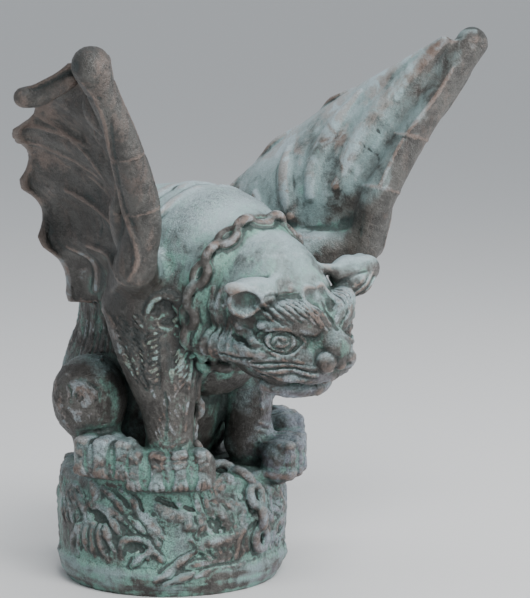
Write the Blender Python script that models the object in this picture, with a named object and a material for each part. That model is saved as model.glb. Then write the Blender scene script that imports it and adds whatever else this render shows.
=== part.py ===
"""Winged gargoyle crouching on a round drum, cast in one piece.

The beast faces -Y, its left side is +X, +Z is up, and the origin is the centre of the drum's
flat underside.  All sizes below are millimetres; the finished mesh is in metres.
The body is laid out as overlapping closed lumps, limbs, loops and sheets, which are then
fused into one skin, softened, thinned and cut flat underneath.
"""
import math

import bmesh
import bpy
import numpy as np
from mathutils import Matrix, Vector

MM = 0.001

# Drum
DRUM_TOP = 116.0
DRUM_PROFILE = [(-8, 104), (2, 107), (9, 112), (40, 117), (72, 119), (95, 116), (110, 112), (DRUM_TOP, 102)]
RELIEF_LOW, RELIEF_HIGH = 36.0, 100.0
SCROLL_COUNT = 4
SCROLL_RADIUS = 26.0

# Body
BACK_TOP = 392.0
SHOULDER_X = 62.0
FOREPAW_BEARING = 40.0
FOREPAW_REACH = 131.0
FORELEG_REACH = {-1: 101.0, 1: 79.0}
HINDPAW_BEARING = 70.0
HINDPAW_REACH = 130.0

# Head: its own frame is turned a little to the beast's left
HEAD_CENTRE = (5.0, -162.0, 284.0)
HEAD_TURN = 5.0

# Chain
COLLAR_CENTRE = (2.0, -134.0, 300.0)
COLLAR_RADII = (88.0, 90.0)
COLLAR_TILT = 20.0
LINK_LENGTH, LINK_WIDTH, LINK_WIRE = 27.0, 18.0, 4.5

# Wings: places are (along the span, fore and aft, sideways) in a frame that leans out
WING_FOOT = (125.0, 300.0)
WING_LEAN = 25.6
WING_ARM = [(-6, -108, 4, 19), (37, -128, 1, 20), (85, -145, -17, 18.5), (146, -159, -15, 18),
            (203, -171, -7, 17.5), (245, -181, -1, 16.5)]
WING_REAR = [(-38, 34, -30), (61, 40, -38), (119, 12, -29), (179, -46, -20), (222, -118, -18),
             (262, -186, -6)]
WING_FINGERS = [(-34, 8), (35, 12), (92, 10), (150, 21), (201, 38)]
WING_SPAN = (-38.0, 254.0)
WING_ROWS = 74
WING_CUP = 18.0
WING_SKIN = 13.0
NOTCH_CURL = 4.0

# Skin
FUSE_STEP = 2.6
KEEP_SHARE = 0.028


def through(stations, count):
    """A smooth run of places through a few stations of any width."""
    knots = np.array(stations, float)
    ghost = np.vstack([2 * knots[0] - knots[1], knots, 2 * knots[-1] - knots[-2]])
    out = []
    for step in np.linspace(0, len(knots) - 1, count):
        i = min(int(step), len(knots) - 2)
        t = step - i
        a, b, c, d = ghost[i:i + 4]
        out.append(0.5 * (2 * b + (c - a) * t + (2 * a - 5 * b + 4 * c - d) * t ** 2
                          + (3 * b - a - 3 * c + d) * t ** 3))
    return np.array(out)


def bearing(angle, reach, side=1):
    """A place round the drum: angle in degrees from the front towards one side."""
    return side * reach * math.sin(math.radians(angle)), -reach * math.cos(math.radians(angle))


def lump(bm, centre, radii, turn=(0, 0, 0), detail=3):
    """An ellipsoid with its axes turned by degrees about X, Y and Z."""
    spin = Matrix.Rotation(math.radians(turn[2]), 4, "Z")
    spin = spin @ Matrix.Rotation(math.radians(turn[1]), 4, "Y")
    spin = spin @ Matrix.Rotation(math.radians(turn[0]), 4, "X")
    place = Matrix.Translation(Vector(centre)) @ spin @ Matrix.Diagonal(Vector((*radii, 1)))
    bmesh.ops.create_icosphere(bm, subdivisions=detail, radius=1, matrix=place)


def skin_rings(bm, rings, closed_run=False):
    """Faces between neighbouring rings of points, with the open ends capped."""
    made = [[bm.verts.new(p) for p in ring] for ring in rings]
    pairs = list(zip(made, made[1:] + made[:1])) if closed_run else list(zip(made, made[1:]))
    sides = len(made[0])
    for low, high in pairs:
        for k in range(sides):
            bm.faces.new((low[k], low[(k + 1) % sides], high[(k + 1) % sides], high[k]))
    if not closed_run:
        bm.faces.new(list(reversed(made[0])))
        bm.faces.new(made[-1])


def limb(bm, stations, sides=14, steps=5, closed_run=False, flat=1.0):
    """A round limb through (x, y, z, radius) stations, with rounded ends."""
    if closed_run:
        path = np.array(stations, float)
    else:
        path = through(stations, (len(stations) - 1) * steps + 1)
    rings = []
    up = Vector((0.13, 0.21, 0.97))
    for i, station in enumerate(path):
        x, y, z, radius = (float(value) for value in station)
        after = path[(i + 1) % len(path)] if closed_run else path[min(i + 1, len(path) - 1)]
        before = path[i - 1] if closed_run else path[max(i - 1, 0)]
        along = Vector(after[:3] - before[:3]).normalized()
        across = along.cross(up).normalized()
        up = across.cross(along).normalized()
        ring = []
        for k in range(sides):
            a = 2 * math.pi * k / sides
            ring.append(Vector((x, y, z)) + radius * (math.cos(a) * across + flat * math.sin(a) * up))
        rings.append(ring)
    skin_rings(bm, rings, closed_run)
    if not closed_run:
        for x, y, z, radius in (path[0], path[-1]):
            lump(bm, (x, y, z), (radius, radius, flat * radius), detail=2)


def drum(bm):
    """The turned drum, one ring of points to each height of its profile."""
    rings = []
    for height, radius in through(DRUM_PROFILE, 29):
        rings.append([(radius * math.cos(a), radius * math.sin(a), height)
                      for a in np.linspace(0, 2 * math.pi, 96, endpoint=False)])
    skin_rings(bm, rings)


def on_drum(angle, height, proud=0.0):
    """A point on the drum's face at a bearing in degrees from the front."""
    heights, radii = np.array(DRUM_PROFILE, float).T
    x, y = bearing(angle, float(np.interp(height, heights, radii)) + proud)
    return x, y, height


def relief(bm):
    """Scrolls, leaf fans and slanting strands round the drum's face."""
    for turn in range(SCROLL_COUNT):
        middle = 360.0 * turn / SCROLL_COUNT - 22.0
        hook = []
        for t in np.linspace(-60, 170, 9):
            a = math.radians(t)
            hook.append((*on_drum(middle + 0.5 * SCROLL_RADIUS * math.cos(a),
                                  66 + 0.8 * SCROLL_RADIUS * math.sin(a)), 6.5))
        limb(bm, hook, sides=8, steps=2)
        for leaf in range(5):
            root = on_drum(middle - 48 + 2.5 * leaf, 78)
            tip = on_drum(middle - 58 + 7.0 * leaf, RELIEF_LOW + 4 * abs(leaf - 2))
            limb(bm, [(*root, 4), (*tip, 6.5)], sides=8, steps=3)
        for strand in range(3):
            high = on_drum(middle - 36 + 7 * strand, RELIEF_HIGH - 4 * strand)
            low = on_drum(middle - 14 + 5 * strand, 46 + 9 * strand)
            limb(bm, [(*high, 5), (*low, 6)], sides=8, steps=4)


def paw(bm, side, angle, reach, toes, gap, ankle):
    """A foot with its toes spread over the drum's rim, claws down."""
    heel_x, heel_y, heel_z = ankle
    pad_x, pad_y = bearing(angle, reach - 26, side)
    limb(bm, [(heel_x, heel_y, heel_z, 22), (pad_x, pad_y, DRUM_TOP + 13, 21)], sides=12, steps=3)
    for toe in range(toes):
        spread = (toe - (toes - 1) / 2) * gap
        root = bearing(angle + 0.7 * spread, reach - 30, side)
        knuckle = bearing(angle + spread, reach - 8, side)
        nail = bearing(angle + spread, reach, side)
        limb(bm, [(*root, DRUM_TOP + 16, 9), (*knuckle, DRUM_TOP + 13, 10.5), (*nail, DRUM_TOP - 6, 8)],
             sides=10, steps=4)


def legs(bm, side):
    """One foreleg and one folded hind leg."""
    fore = bearing(FOREPAW_BEARING, FORELEG_REACH[side], side)
    limb(bm, [(side * SHOULDER_X, -64, 302, 40), (1.04 * fore[0], fore[1], 258, 32), (*fore, 205, 26),
              (*fore, 160, 22.5), (*fore, 138, 23)], sides=18)
    paw(bm, side, FOREPAW_BEARING, FOREPAW_REACH, 4, 8.6, (fore[0], fore[1], 138))
    hind = bearing(HINDPAW_BEARING + 18, 92, side)
    lump(bm, (side * 50, 38, 186), (38, 50, 60), (14, 0, 0))
    lump(bm, (side * 98, 4, 183), (36, 37, 37))
    limb(bm, [(side * 92, 4, 172, 25), (hind[0], hind[1] + 8, 142, 20)], sides=14)
    paw(bm, side, HINDPAW_BEARING, HINDPAW_REACH, 3, 9.5, (hind[0], hind[1], 136))


def torso(bm):
    """The hunched back, belly, chest and thick neck."""
    lump(bm, (0, 20, 212), (76, 82, 106))
    lump(bm, (0, 4, BACK_TOP - 78), (79, 92, 78))
    lump(bm, (0, -66, BACK_TOP - 84), (84, 82, 86))
    lump(bm, (0, -84, 258), (66, 46, 72))
    lump(bm, (0, 60, 190), (82, 50, 84))
    lump(bm, (0, 30, 150), (90, 62, 60))
    limb(bm, [(0, -24, 326, 68), (0, 28, 302, 70), (0, 40, 250, 67), (0, 46, 190, 70)], sides=24)
    limb(bm, [(0, -70, 314, 80), (2, -126, 304, 77), (5, -156, 292, 64)], sides=24)


def head(bm):
    """Skull, muzzle, jaw, brows, eyes, nose and ears in the head's own frame."""
    part = bmesh.new()
    lump(part, (0, 0, 4), (60, 60, 72))
    lump(part, (0, -30, -8), (50, 34, 34))
    lump(part, (0, -50, -38), (34, 30, 24))
    lump(part, (0, -30, -58), (38, 36, 20))
    lump(part, (0, -61, -8), (11, 17, 20))
    lump(part, (0, -77, -28), (14, 8, 11))
    for side in (-1, 1):
        lump(part, (side * 34, -28, -34), (24, 30, 30))
        lump(part, (side * 13, -75, -34), (9, 8, 8))
        lump(part, (side * 34, -48, -14), (15, 12, 10))
        limb(part, [(side * 12, -62, 10, 8), (side * 34, -56, 16, 9), (side * 50, -36, 8, 8)], sides=8)
        limb(part, [(side * 4, -74, -46, 7), (side * 22, -66, -52, 8), (side * 36, -44, -50, 8)], sides=8)
        lump(part, (side * 64, -32, 30), (29, 9, 16), (0, -16 * side, 14 * side))
    lump(part, (0, -58, 28), (15, 9, 16))
    place = Matrix.Translation(Vector(HEAD_CENTRE)) @ Matrix.Rotation(math.radians(HEAD_TURN), 4, "Z")
    bmesh.ops.transform(part, matrix=place, verts=part.verts)
    carry = bpy.data.meshes.new("head_lumps")
    part.to_mesh(carry)
    part.free()
    bm.from_mesh(carry)
    bpy.data.meshes.remove(carry)


def link(bm, centre, along, facing):
    """One oval chain link: along is its long way, facing its face."""
    along = Vector(along).normalized()
    facing = Vector(facing).normalized()
    across = along.cross(facing).normalized()
    loop = []
    for a in np.linspace(0, 2 * math.pi, 14, endpoint=False):
        place = (Vector(centre) + 0.5 * (LINK_LENGTH - LINK_WIRE) * math.cos(a) * along
                 + 0.5 * (LINK_WIDTH - LINK_WIRE) * math.sin(a) * across)
        loop.append((*place, LINK_WIRE))
    limb(bm, loop, sides=7, closed_run=True)


def chain_run(bm, path, middle):
    """Links laid end to end along a path, alternately flat and on edge."""
    path = np.array(path, float)
    steps = np.linalg.norm(np.diff(path, axis=0), axis=1)
    length = np.concatenate([[0], np.cumsum(steps)])
    count = max(2, round(length[-1] / (0.72 * LINK_LENGTH)))
    for k in range(count):
        where = length[-1] * (k + 0.5) / count
        here = [float(np.interp(where, length, path[:, i])) for i in range(3)]
        ahead = [float(np.interp(where + 4, length, path[:, i])) for i in range(3)]
        along = Vector(ahead) - Vector(here)
        out = Vector(here) - Vector(middle)
        out -= out.project(along)
        if k % 2:
            out = along.cross(out)
        if along.length:
            link(bm, here, along, out)


def chain(bm):
    """The collar round the neck, and the loose end down between the forelegs and over the rim."""
    tilt = math.radians(COLLAR_TILT)
    ring = []
    for a in np.linspace(0, 2 * math.pi, 60):
        wide, high = COLLAR_RADII[0] * math.sin(a), COLLAR_RADII[1] * math.cos(a)
        ring.append((COLLAR_CENTRE[0] + wide, COLLAR_CENTRE[1] - high * math.sin(tilt),
                     COLLAR_CENTRE[2] + high * math.cos(tilt)))
    chain_run(bm, ring, COLLAR_CENTRE)
    fall = through([(-40, -96, 236), (-36, -80, 180), (-34, -78, 126), (-20, -84, 119),
                    (0, -100, DRUM_TOP + 2), (13, -114, 103), (18, -118, 72), (22, -117, 40)], 60)
    chain_run(bm, fall, (0, 0, 80))


def wing_place(span, aft, out, side):
    """From the wing's leaning frame to the beast's."""
    lean = math.radians(WING_LEAN)
    x = WING_FOOT[0] + span * math.sin(lean) + out * math.cos(lean)
    return side * x, aft, WING_FOOT[1] + span * math.cos(lean) - out * math.sin(lean)


def curl_at(span):
    """How far the trailing edge curls outward: long at each finger, short between them."""
    places, lengths = np.array(WING_FINGERS, float).T
    nearest = int(np.argmin(np.abs(places - span)))
    beyond = nearest + (1 if span > places[nearest] else -1)
    if not 0 <= beyond < len(places):
        return lengths[nearest] * max(0.0, 1 - abs(span - places[nearest]) / 45)
    share = abs(span - places[nearest]) / abs(places[beyond] - places[nearest])
    return NOTCH_CURL + (lengths[nearest] - NOTCH_CURL) * (1 - 2 * share) ** 2


def wing(bm, side):
    """The thick arm along the front, and the cupped sheet behind it with its curled fingers."""
    arm = through(WING_ARM, 31)
    limb(bm, [(*wing_place(s, y, n, side), r) for s, y, n, r in arm], sides=16, steps=1)
    limb(bm, [(side * 80, -58, 306, 34), (side * 112, -92, 310, 25), (*wing_place(10, -112, 3, side), 20)],
         sides=16)
    rear = through(WING_REAR, 61)
    spans = np.linspace(WING_SPAN[0], WING_SPAN[1], WING_ROWS)
    sheet = []
    for span in spans:
        front_y = float(np.interp(span, arm[:, 0], arm[:, 1]))
        front_n = float(np.interp(span, arm[:, 0], arm[:, 2]))
        rear_y = float(np.interp(span, rear[:, 0], rear[:, 1]))
        rear_n = float(np.interp(span, rear[:, 0], rear[:, 2]))
        row = []
        for c in np.linspace(0, 1, 15):
            sag = WING_CUP * 4 * c * (1 - c)
            row.append(wing_place(span, front_y + (rear_y - front_y) * c,
                                  front_n + (rear_n - front_n) * c - sag, side))
        curl = curl_at(span)
        x, y, z = row[-1]
        for t in (0.25, 0.5, 0.75, 1.0):
            row.append((x + side * curl * t, y + 9 * math.sin(math.pi * 0.7 * t), z + 0.12 * curl * t))
        sheet.append(row)
    grid = np.array(sheet)
    along = np.gradient(grid, axis=0)
    across = np.gradient(grid, axis=1)
    normal = np.cross(along, across)
    normal /= np.linalg.norm(normal, axis=2, keepdims=True)
    half = np.full(grid.shape[1], 0.5 * WING_SKIN)
    half[-3:] = (5.5, 4.5, 3.0)
    face = grid + normal * half[None, :, None]
    back = grid - normal * half[None, :, None]
    rings = [list(face[i]) + list(back[i][::-1]) for i in range(len(grid))]
    skin_rings(bm, rings)
    for span, _ in WING_FINGERS[1:]:
        i = int(np.argmin(np.abs(spans - span)))
        start = int(np.argmin(np.abs(spans - (30 + 0.45 * span))))
        rib = []
        for t in np.linspace(0, 1, 7):
            row = int(round(start + (i - start) * t ** 0.7))
            column = int(round(2 + (grid.shape[1] - 3) * t))
            rib.append((*grid[row, column], 8.5 - 1.5 * t))
        limb(bm, rib, sides=8, steps=3)


def sculpt():
    """All the lumps in one mesh, in metres, faces pointing out."""
    bm = bmesh.new()
    drum(bm)
    relief(bm)
    torso(bm)
    head(bm)
    chain(bm)
    for side in (-1, 1):
        legs(bm, side)
        wing(bm, side)
    bmesh.ops.recalc_face_normals(bm, faces=bm.faces)
    bmesh.ops.scale(bm, vec=(MM, MM, MM), verts=bm.verts)
    mesh = bpy.data.meshes.new("gargoyle")
    bm.to_mesh(mesh)
    bm.free()
    return mesh


def verdigris_stone():
    """Cast stone with an aged bronze-green finish."""
    material = bpy.data.materials.new("verdigris_cast_stone")
    material.use_nodes = True
    shader = material.node_tree.nodes["Principled BSDF"]
    shader.inputs["Base Color"].default_value = (0.13, 0.17, 0.15, 1)
    shader.inputs["Roughness"].default_value = 0.55
    shader.inputs["Metallic"].default_value = 0.0
    return material


def ground_block():
    """A cutter whose top is the plane that the drum stands on."""
    bm = bmesh.new()
    bmesh.ops.create_cube(bm, size=1)
    bmesh.ops.scale(bm, vec=(0.4, 0.4, 0.04), verts=bm.verts)
    bmesh.ops.translate(bm, vec=(0, 0, -0.02), verts=bm.verts)
    mesh = bpy.data.meshes.new("ground_block")
    bm.to_mesh(mesh)
    bm.free()
    block = bpy.data.objects.new("ground_block", mesh)
    block.hide_render = True
    block.display_type = "WIRE"
    return block


def main():
    for old in list(bpy.data.objects):
        bpy.data.objects.remove(old, do_unlink=True)
    gargoyle = bpy.data.objects.new("gargoyle", sculpt())
    block = ground_block()
    for made in (gargoyle, block):
        bpy.context.scene.collection.objects.link(made)
    gargoyle.data.materials.append(verdigris_stone())

    fuse = gargoyle.modifiers.new("fuse", "REMESH")
    fuse.mode = "VOXEL"
    fuse.voxel_size = FUSE_STEP * MM
    soften = gargoyle.modifiers.new("soften", "SMOOTH")
    soften.factor = 0.5
    soften.iterations = 2
    thin = gargoyle.modifiers.new("thin", "DECIMATE")
    thin.ratio = KEEP_SHARE
    flatten = gargoyle.modifiers.new("flatten", "BOOLEAN")
    flatten.operation = "DIFFERENCE"
    flatten.object = block


main()
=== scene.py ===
"""Visible surface of the winged gargoyle: one cast piece, modelled as a field of clay.

Every form is added to a grid of distances to the surface, so that lumps melt into each other as
modelled clay does; carving raises or sinks strokes drawn on that surface.  The zero surface then
becomes one mesh, its small relief goes in vertex by vertex, and a patina material reads the
hollows and ridges from it, painting shade into creases and deep places and highlights onto the
ridges as well as the patina.  Sizes are millimetres of the beast at its real size, scaled from the frame.
The beast faces -Y, its left is +X, and the drum stands on z = 0.
"""
import itertools
import math

import bpy
import numpy as np
from mathutils import Euler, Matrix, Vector, noise


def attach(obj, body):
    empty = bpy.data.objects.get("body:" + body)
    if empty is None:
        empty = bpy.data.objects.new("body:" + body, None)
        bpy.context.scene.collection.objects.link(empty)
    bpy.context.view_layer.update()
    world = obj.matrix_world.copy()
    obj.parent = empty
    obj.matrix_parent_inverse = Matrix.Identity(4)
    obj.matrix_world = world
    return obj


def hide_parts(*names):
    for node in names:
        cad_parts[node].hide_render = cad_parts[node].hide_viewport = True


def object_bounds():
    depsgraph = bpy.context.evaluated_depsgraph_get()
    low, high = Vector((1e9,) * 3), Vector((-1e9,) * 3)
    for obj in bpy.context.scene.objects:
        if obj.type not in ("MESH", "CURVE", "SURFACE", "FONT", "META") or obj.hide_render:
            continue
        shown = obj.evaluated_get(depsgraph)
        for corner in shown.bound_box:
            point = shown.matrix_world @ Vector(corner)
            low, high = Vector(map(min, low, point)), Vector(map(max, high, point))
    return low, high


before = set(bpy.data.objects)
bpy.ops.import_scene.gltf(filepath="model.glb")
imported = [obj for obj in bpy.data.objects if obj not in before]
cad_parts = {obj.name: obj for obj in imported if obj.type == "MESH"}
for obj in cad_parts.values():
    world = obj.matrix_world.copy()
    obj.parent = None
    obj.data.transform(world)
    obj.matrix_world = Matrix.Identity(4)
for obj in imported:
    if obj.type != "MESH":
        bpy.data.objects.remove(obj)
CAD_LOW, CAD_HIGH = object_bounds()

# ---------------------------------------------------------------- sizes
FULL_HEIGHT = 543.5
SCALE = (CAD_HIGH[2] - CAD_LOW[2]) / FULL_HEIGHT

FINE_CELL, COARSE_CELL = 1.2, 2.0
FINE_ZONE = ((-126, -250, 0), (126, -60, 340))
BAND = 16.0
MARGIN = 4.0
HARD, PLAIN, ROUND, BROAD = 0.8, 1.0, 1.6, 2.0
WAVER_SIZE = 16.0
TRIANGLES = 192000
SIDES = (-1, 1)
GOLDEN_SHARE, GOLDEN_TURN = 0.618, 137.5
UNDERSIDE, UNDERSIDE_THINNED = 0.6, 0.3

VIEW_AZIMUTH, VIEW_ELEVATION = -40, 8
VIEW_AIM, VIEW_DISTANCE, VIEW_HEIGHT = (0.072, -0.061, 0.278), 2.4, 0.598
SENSOR = 36
FLOOR_REACH = 150

DRUM_TOP = 116.0
DRUM_PROFILE = [(-8, 104), (2, 107), (9, 112), (22, 115), (30, 112), (72, 114), (98, 111.5), (110, 111),
                (130, 108)]

FOREPAW_BEARING, FOREPAW_REACH = 39.0, 131.0
FORELEG_REACH = {-1: 101.0, 1: 79.0}
NEAR_SHIN, FAR_SHIN = (-65.0, -77.0), (51.0, -60.0)
HINDPAW_BEARING, HINDPAW_REACH = 69.0, 130.0
KNEE = (98.0, 4.0, 189.0)

HEAD_CENTRE = np.array([5.0, -162.0, 284.0])
HEAD_TURN, HEAD_ROLL = 5.0, -4.0

COLLAR_CENTRE = np.array([-6.0, -122.0, 297.0])
COLLAR_RADII, COLLAR_TILT, COLLAR_TURN = (71.0, 75.0), 17.0, 7.0
LINK_LENGTH, LINK_WIDTH, LINK_WIRE = 30.0, 24.0, 4.7
LINK_PITCH = 0.72 * LINK_LENGTH

WING_FOOT = (125.0, 300.0)
WING_LEAN = math.radians(25.6)
LEAN_SIN, LEAN_COS = math.sin(WING_LEAN), math.cos(WING_LEAN)
WING_ARM = [(38, -130, 0, 17), (52, -136, -6, 18), (85, -148, -17, 17), (146, -164, -16, 14.5),
            (203, -177, -8, 13), (228, -180, -5, 14.5)]
WING_FRONT = [(-38, -14, -24), (-10, -44, -20), (14, -88, -12), (36, -130, 0)]
WING_REAR = [(-38, 34, -30), (61, 40, -38), (119, 12, -29), (179, -46, -20), (222, -118, -18),
             (262, -186, -6)]
WING_FINGERS = [(-34, 8), (26, 15), (94, 14), (160, 19), (205, 30)]
WING_TIP = {-1: (245, -184, -3, 17.5), 1: (256, -187, -3, 16)}
WING_SPAN = {-1: (-38.0, 240.0), 1: (-38.0, 250.0)}
WING_CUP = 18.0
WING_SKIN = 12.0
NOTCH_CURL = 1.0
ROW = 1.5
WING_RIBS = [(-42, -38), (12, 31), (38, 92), (66, 160), (104, 205), (168, 262)]
WING_BILLOW = 6.5
WING_HORN = ((224, -128, -13, 7), (217, -104, -4, 9), (216, -92, 6, 10), (219, -88, 15, 9.5))
WING_POCKETS = (((118, -142, -10, 4), (92, -129, -8, 9), (66, -123, -7, 10.5), (46, -126, -5, 9),
                 (32, -132, -3, 6)),
                ((222, -162, -8, 5), (204, -158, -5, 9), (188, -156, -7, 9), (172, -156, -11, 5)))


# ---------------------------------------------------------------- geometry helpers
def through(stations, count):
    """A smooth run of places through a few stations of any width."""
    knots = np.array(stations, float)
    ghost = np.vstack([2 * knots[0] - knots[1], knots, 2 * knots[-1] - knots[-2]])
    steps = np.linspace(0, len(knots) - 1, count)
    i = np.minimum(steps.astype(int), len(knots) - 2)
    t = (steps - i)[:, None]
    a, b, c, d = ghost[i], ghost[i + 1], ghost[i + 2], ghost[i + 3]
    return 0.5 * (2 * b + (c - a) * t + (2 * a - 5 * b + 4 * c - d) * t ** 2
                  + (3 * b - a - 3 * c + d) * t ** 3)


def bearing(angle, reach, side=1):
    """A place round the drum: degrees from the front towards one side."""
    return side * reach * math.sin(math.radians(angle)), -reach * math.cos(math.radians(angle))


def turned(degrees):
    """Rotation matrix for degrees about X, then Y, then Z."""
    return np.array(Euler([math.radians(d) for d in degrees], "XYZ").to_matrix())


def smooth_min(a, b, soft):
    """Union of two fields that melts over the width soft."""
    if soft <= 0:
        return np.minimum(a, b)
    h = np.clip(0.5 + 0.5 * (b - a) / soft, 0, 1)
    return b + (a - b) * h - soft * h * (1 - h)


def graded(low, high, fine_low, fine_high, fine, coarse):
    """Places along one axis, close together between fine_low and fine_high and wider apart outside."""
    middle = np.arange(fine_low, fine_high + fine, fine)
    before = fine_low - coarse * np.arange(1, math.ceil((fine_low - low) / coarse) + 1)[::-1]
    after = middle[-1] + coarse * np.arange(1, math.ceil((high - middle[-1]) / coarse) + 1)
    return np.concatenate([before, middle, after])


class Clay:
    """A grid of distances to the surface, below zero inside, finer where the carving is fine."""

    def __init__(self, low, high, fine_low, fine_high, fine, coarse):
        self.axes = [graded(*spans, fine, coarse) for spans in zip(low, high, fine_low, fine_high)]
        self.count = np.array([len(axis) for axis in self.axes])
        self.field = np.full(self.count, BAND, np.float32)
        self.raised = np.zeros(self.count, np.float32)
        self.sunk = np.zeros(self.count, np.float32)

    def block(self, low, high):
        """The slices that cover a box, and its x, y and z as open grids."""
        cut = []
        for axis, a, b in zip(self.axes, low, high):
            first = int(np.clip(np.searchsorted(axis, a) - 1, 0, len(axis) - 1))
            cut.append(slice(first, int(np.clip(np.searchsorted(axis, b) + 1, first + 1, len(axis)))))
        return (tuple(cut), *np.ix_(*[axis[part].astype(np.float32) for axis, part in zip(self.axes, cut)]))

    def framed(self, centre, reach, spin):
        """A block round a centre, and the distances in it along the axes of a turned frame."""
        cut, x, y, z = self.block(centre - reach, centre + reach)
        x, y, z = x - centre[0], y - centre[1], z - centre[2]
        return cut, [x * a + y * b + z * c for a, b, c in spin.T]

    def add(self, cut, shape, soft=0.0, cut_away=False):
        """Melts a shape into the clay, or takes it out."""
        sign = -1 if cut_away else 1
        self.field[cut] = sign * smooth_min(sign * self.field[cut], shape.astype(np.float32), soft)

    def sample(self, points):
        """The field at any points, blended between the grid's."""
        spots = [np.interp(points[..., k], axis, np.arange(len(axis))) for k, axis in enumerate(self.axes)]
        spot = np.minimum(np.stack(spots, axis=-1), self.count - 1.001)
        i = spot.astype(int)
        f = spot - i
        total = 0
        for corner in range(8):
            step = np.array([corner & 1, corner >> 1 & 1, corner >> 2 & 1])
            weight = np.prod(np.where(step, f, 1 - f), axis=-1)
            total = total + weight * self.field[tuple(np.moveaxis(i + step, -1, 0))]
        return total

    def onto(self, points, inward, reach):
        """Points moved along their own inward directions until they meet the surface from outside."""
        inward = inward / np.linalg.norm(inward, axis=1)[:, None]
        steps = np.arange(-reach, reach, 1.0)
        values = self.sample(points[:, None, :3] + steps[None, :, None] * inward[:, None, :])
        hit = (values < 0).argmax(axis=1)
        found = (values < 0).any(axis=1) & (hit > 0)
        rows = np.arange(len(points))
        before, after = values[rows, hit - 1], values[rows, hit]
        travel = steps[hit - 1] + before / np.maximum(before - after, 1e-6)
        points[found, :3] += travel[found, None] * inward[found]
        return points

    def lump(self, centre, radii, turn=(0, 0, 0), soft=0.0, cut_away=False):
        """An ellipsoid."""
        centre, radii = np.array(centre, float), np.array(radii, float)
        spin = turn if isinstance(turn, np.ndarray) else turned(turn)
        cut, along = self.framed(centre, np.sqrt((spin ** 2) @ (radii ** 2)) + soft + MARGIN, spin)
        shares = [run / radius for run, radius in zip(along, radii)]
        near = np.sqrt(sum(share ** 2 for share in shares))
        far = np.sqrt(sum((share / radius) ** 2 for share, radius in zip(shares, radii)))
        self.add(cut, near * (near - 1) / np.maximum(far, 1e-6), soft, cut_away)

    def bar(self, centre, halves, spin, rounding, soft=0.0):
        """A rounded block."""
        centre, halves = np.array(centre, float), np.array(halves, float)
        cut, along = self.framed(centre, np.abs(spin) @ halves + soft + MARGIN, spin)
        gaps = [np.abs(run) - (half - rounding) for run, half in zip(along, halves)]
        beyond = np.sqrt(sum(np.maximum(gap, 0) ** 2 for gap in gaps))
        deepest = np.maximum(np.maximum(gaps[0], gaps[1]), gaps[2])
        self.add(cut, beyond + np.minimum(deepest, 0) - rounding, soft)

    def ways(self, path, spread):
        """Round a path of (x, y, z, width): how far outside that width, the width, and how far away."""
        cut, *_ = self.block(path[:, :3].min(0) - spread, path[:, :3].max(0) + spread)
        best, width, away = (np.full([part.stop - part.start for part in cut], start, np.float32)
                             for start in (1e3, 1.0, 1e3))
        for a, b in zip(path, path[1:]):
            part, x, y, z = self.block(np.minimum(a, b)[:3] - spread, np.maximum(a, b)[:3] + spread)
            local = tuple(slice(p.start - c.start, p.stop - c.start) for p, c in zip(part, cut))
            run = b[:3] - a[:3]
            x, y, z = x - a[0], y - a[1], z - a[2]
            t = np.clip((x * run[0] + y * run[1] + z * run[2]) / max(float(run @ run), 1e-6), 0, 1)
            gap = np.sqrt((x - t * run[0]) ** 2 + (y - t * run[1]) ** 2 + (z - t * run[2]) ** 2)
            wide = a[3] + (b[3] - a[3]) * t
            closer = gap - wide < best[local]
            for kept, found in ((best, gap - wide), (width, wide), (away, gap)):
                kept[local] = np.where(closer, found, kept[local])
        return cut, best, width, away

    def limb(self, stations, soft=0.0, count=None, cut_away=False):
        """A round limb through (x, y, z, radius) stations."""
        self.tube(through(stations, count or 5 * (len(stations) - 1) + 1), soft, MARGIN + soft, cut_away)

    def tube(self, path, soft, spread, cut_away=False):
        """A round form along a path that is already smooth."""
        cut, best, *_ = self.ways(path, float(path[:, 3].max()) + spread)
        self.add(cut, best, soft, cut_away)

    def trace(self, path, height, soft):
        """A raised stroke, or below zero a groove, along a path of (x, y, z, half width) on the surface."""
        widest = float(path[:, 3].max())
        cut, _, width, away = self.ways(path, widest + 1)
        off = np.minimum(away / width, 1)
        rise = abs(height) * (1 - off ** 2) ** soft * np.minimum(1, width / widest * 1.2)
        strokes = self.raised if height > 0 else self.sunk
        strokes[cut] = np.maximum(strokes[cut], rise.astype(np.float32))

    def settle(self):
        """Takes the strokes drawn so far into the surface; where strokes cross, the bolder one wins."""
        self.field += self.sunk - self.raised


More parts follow.
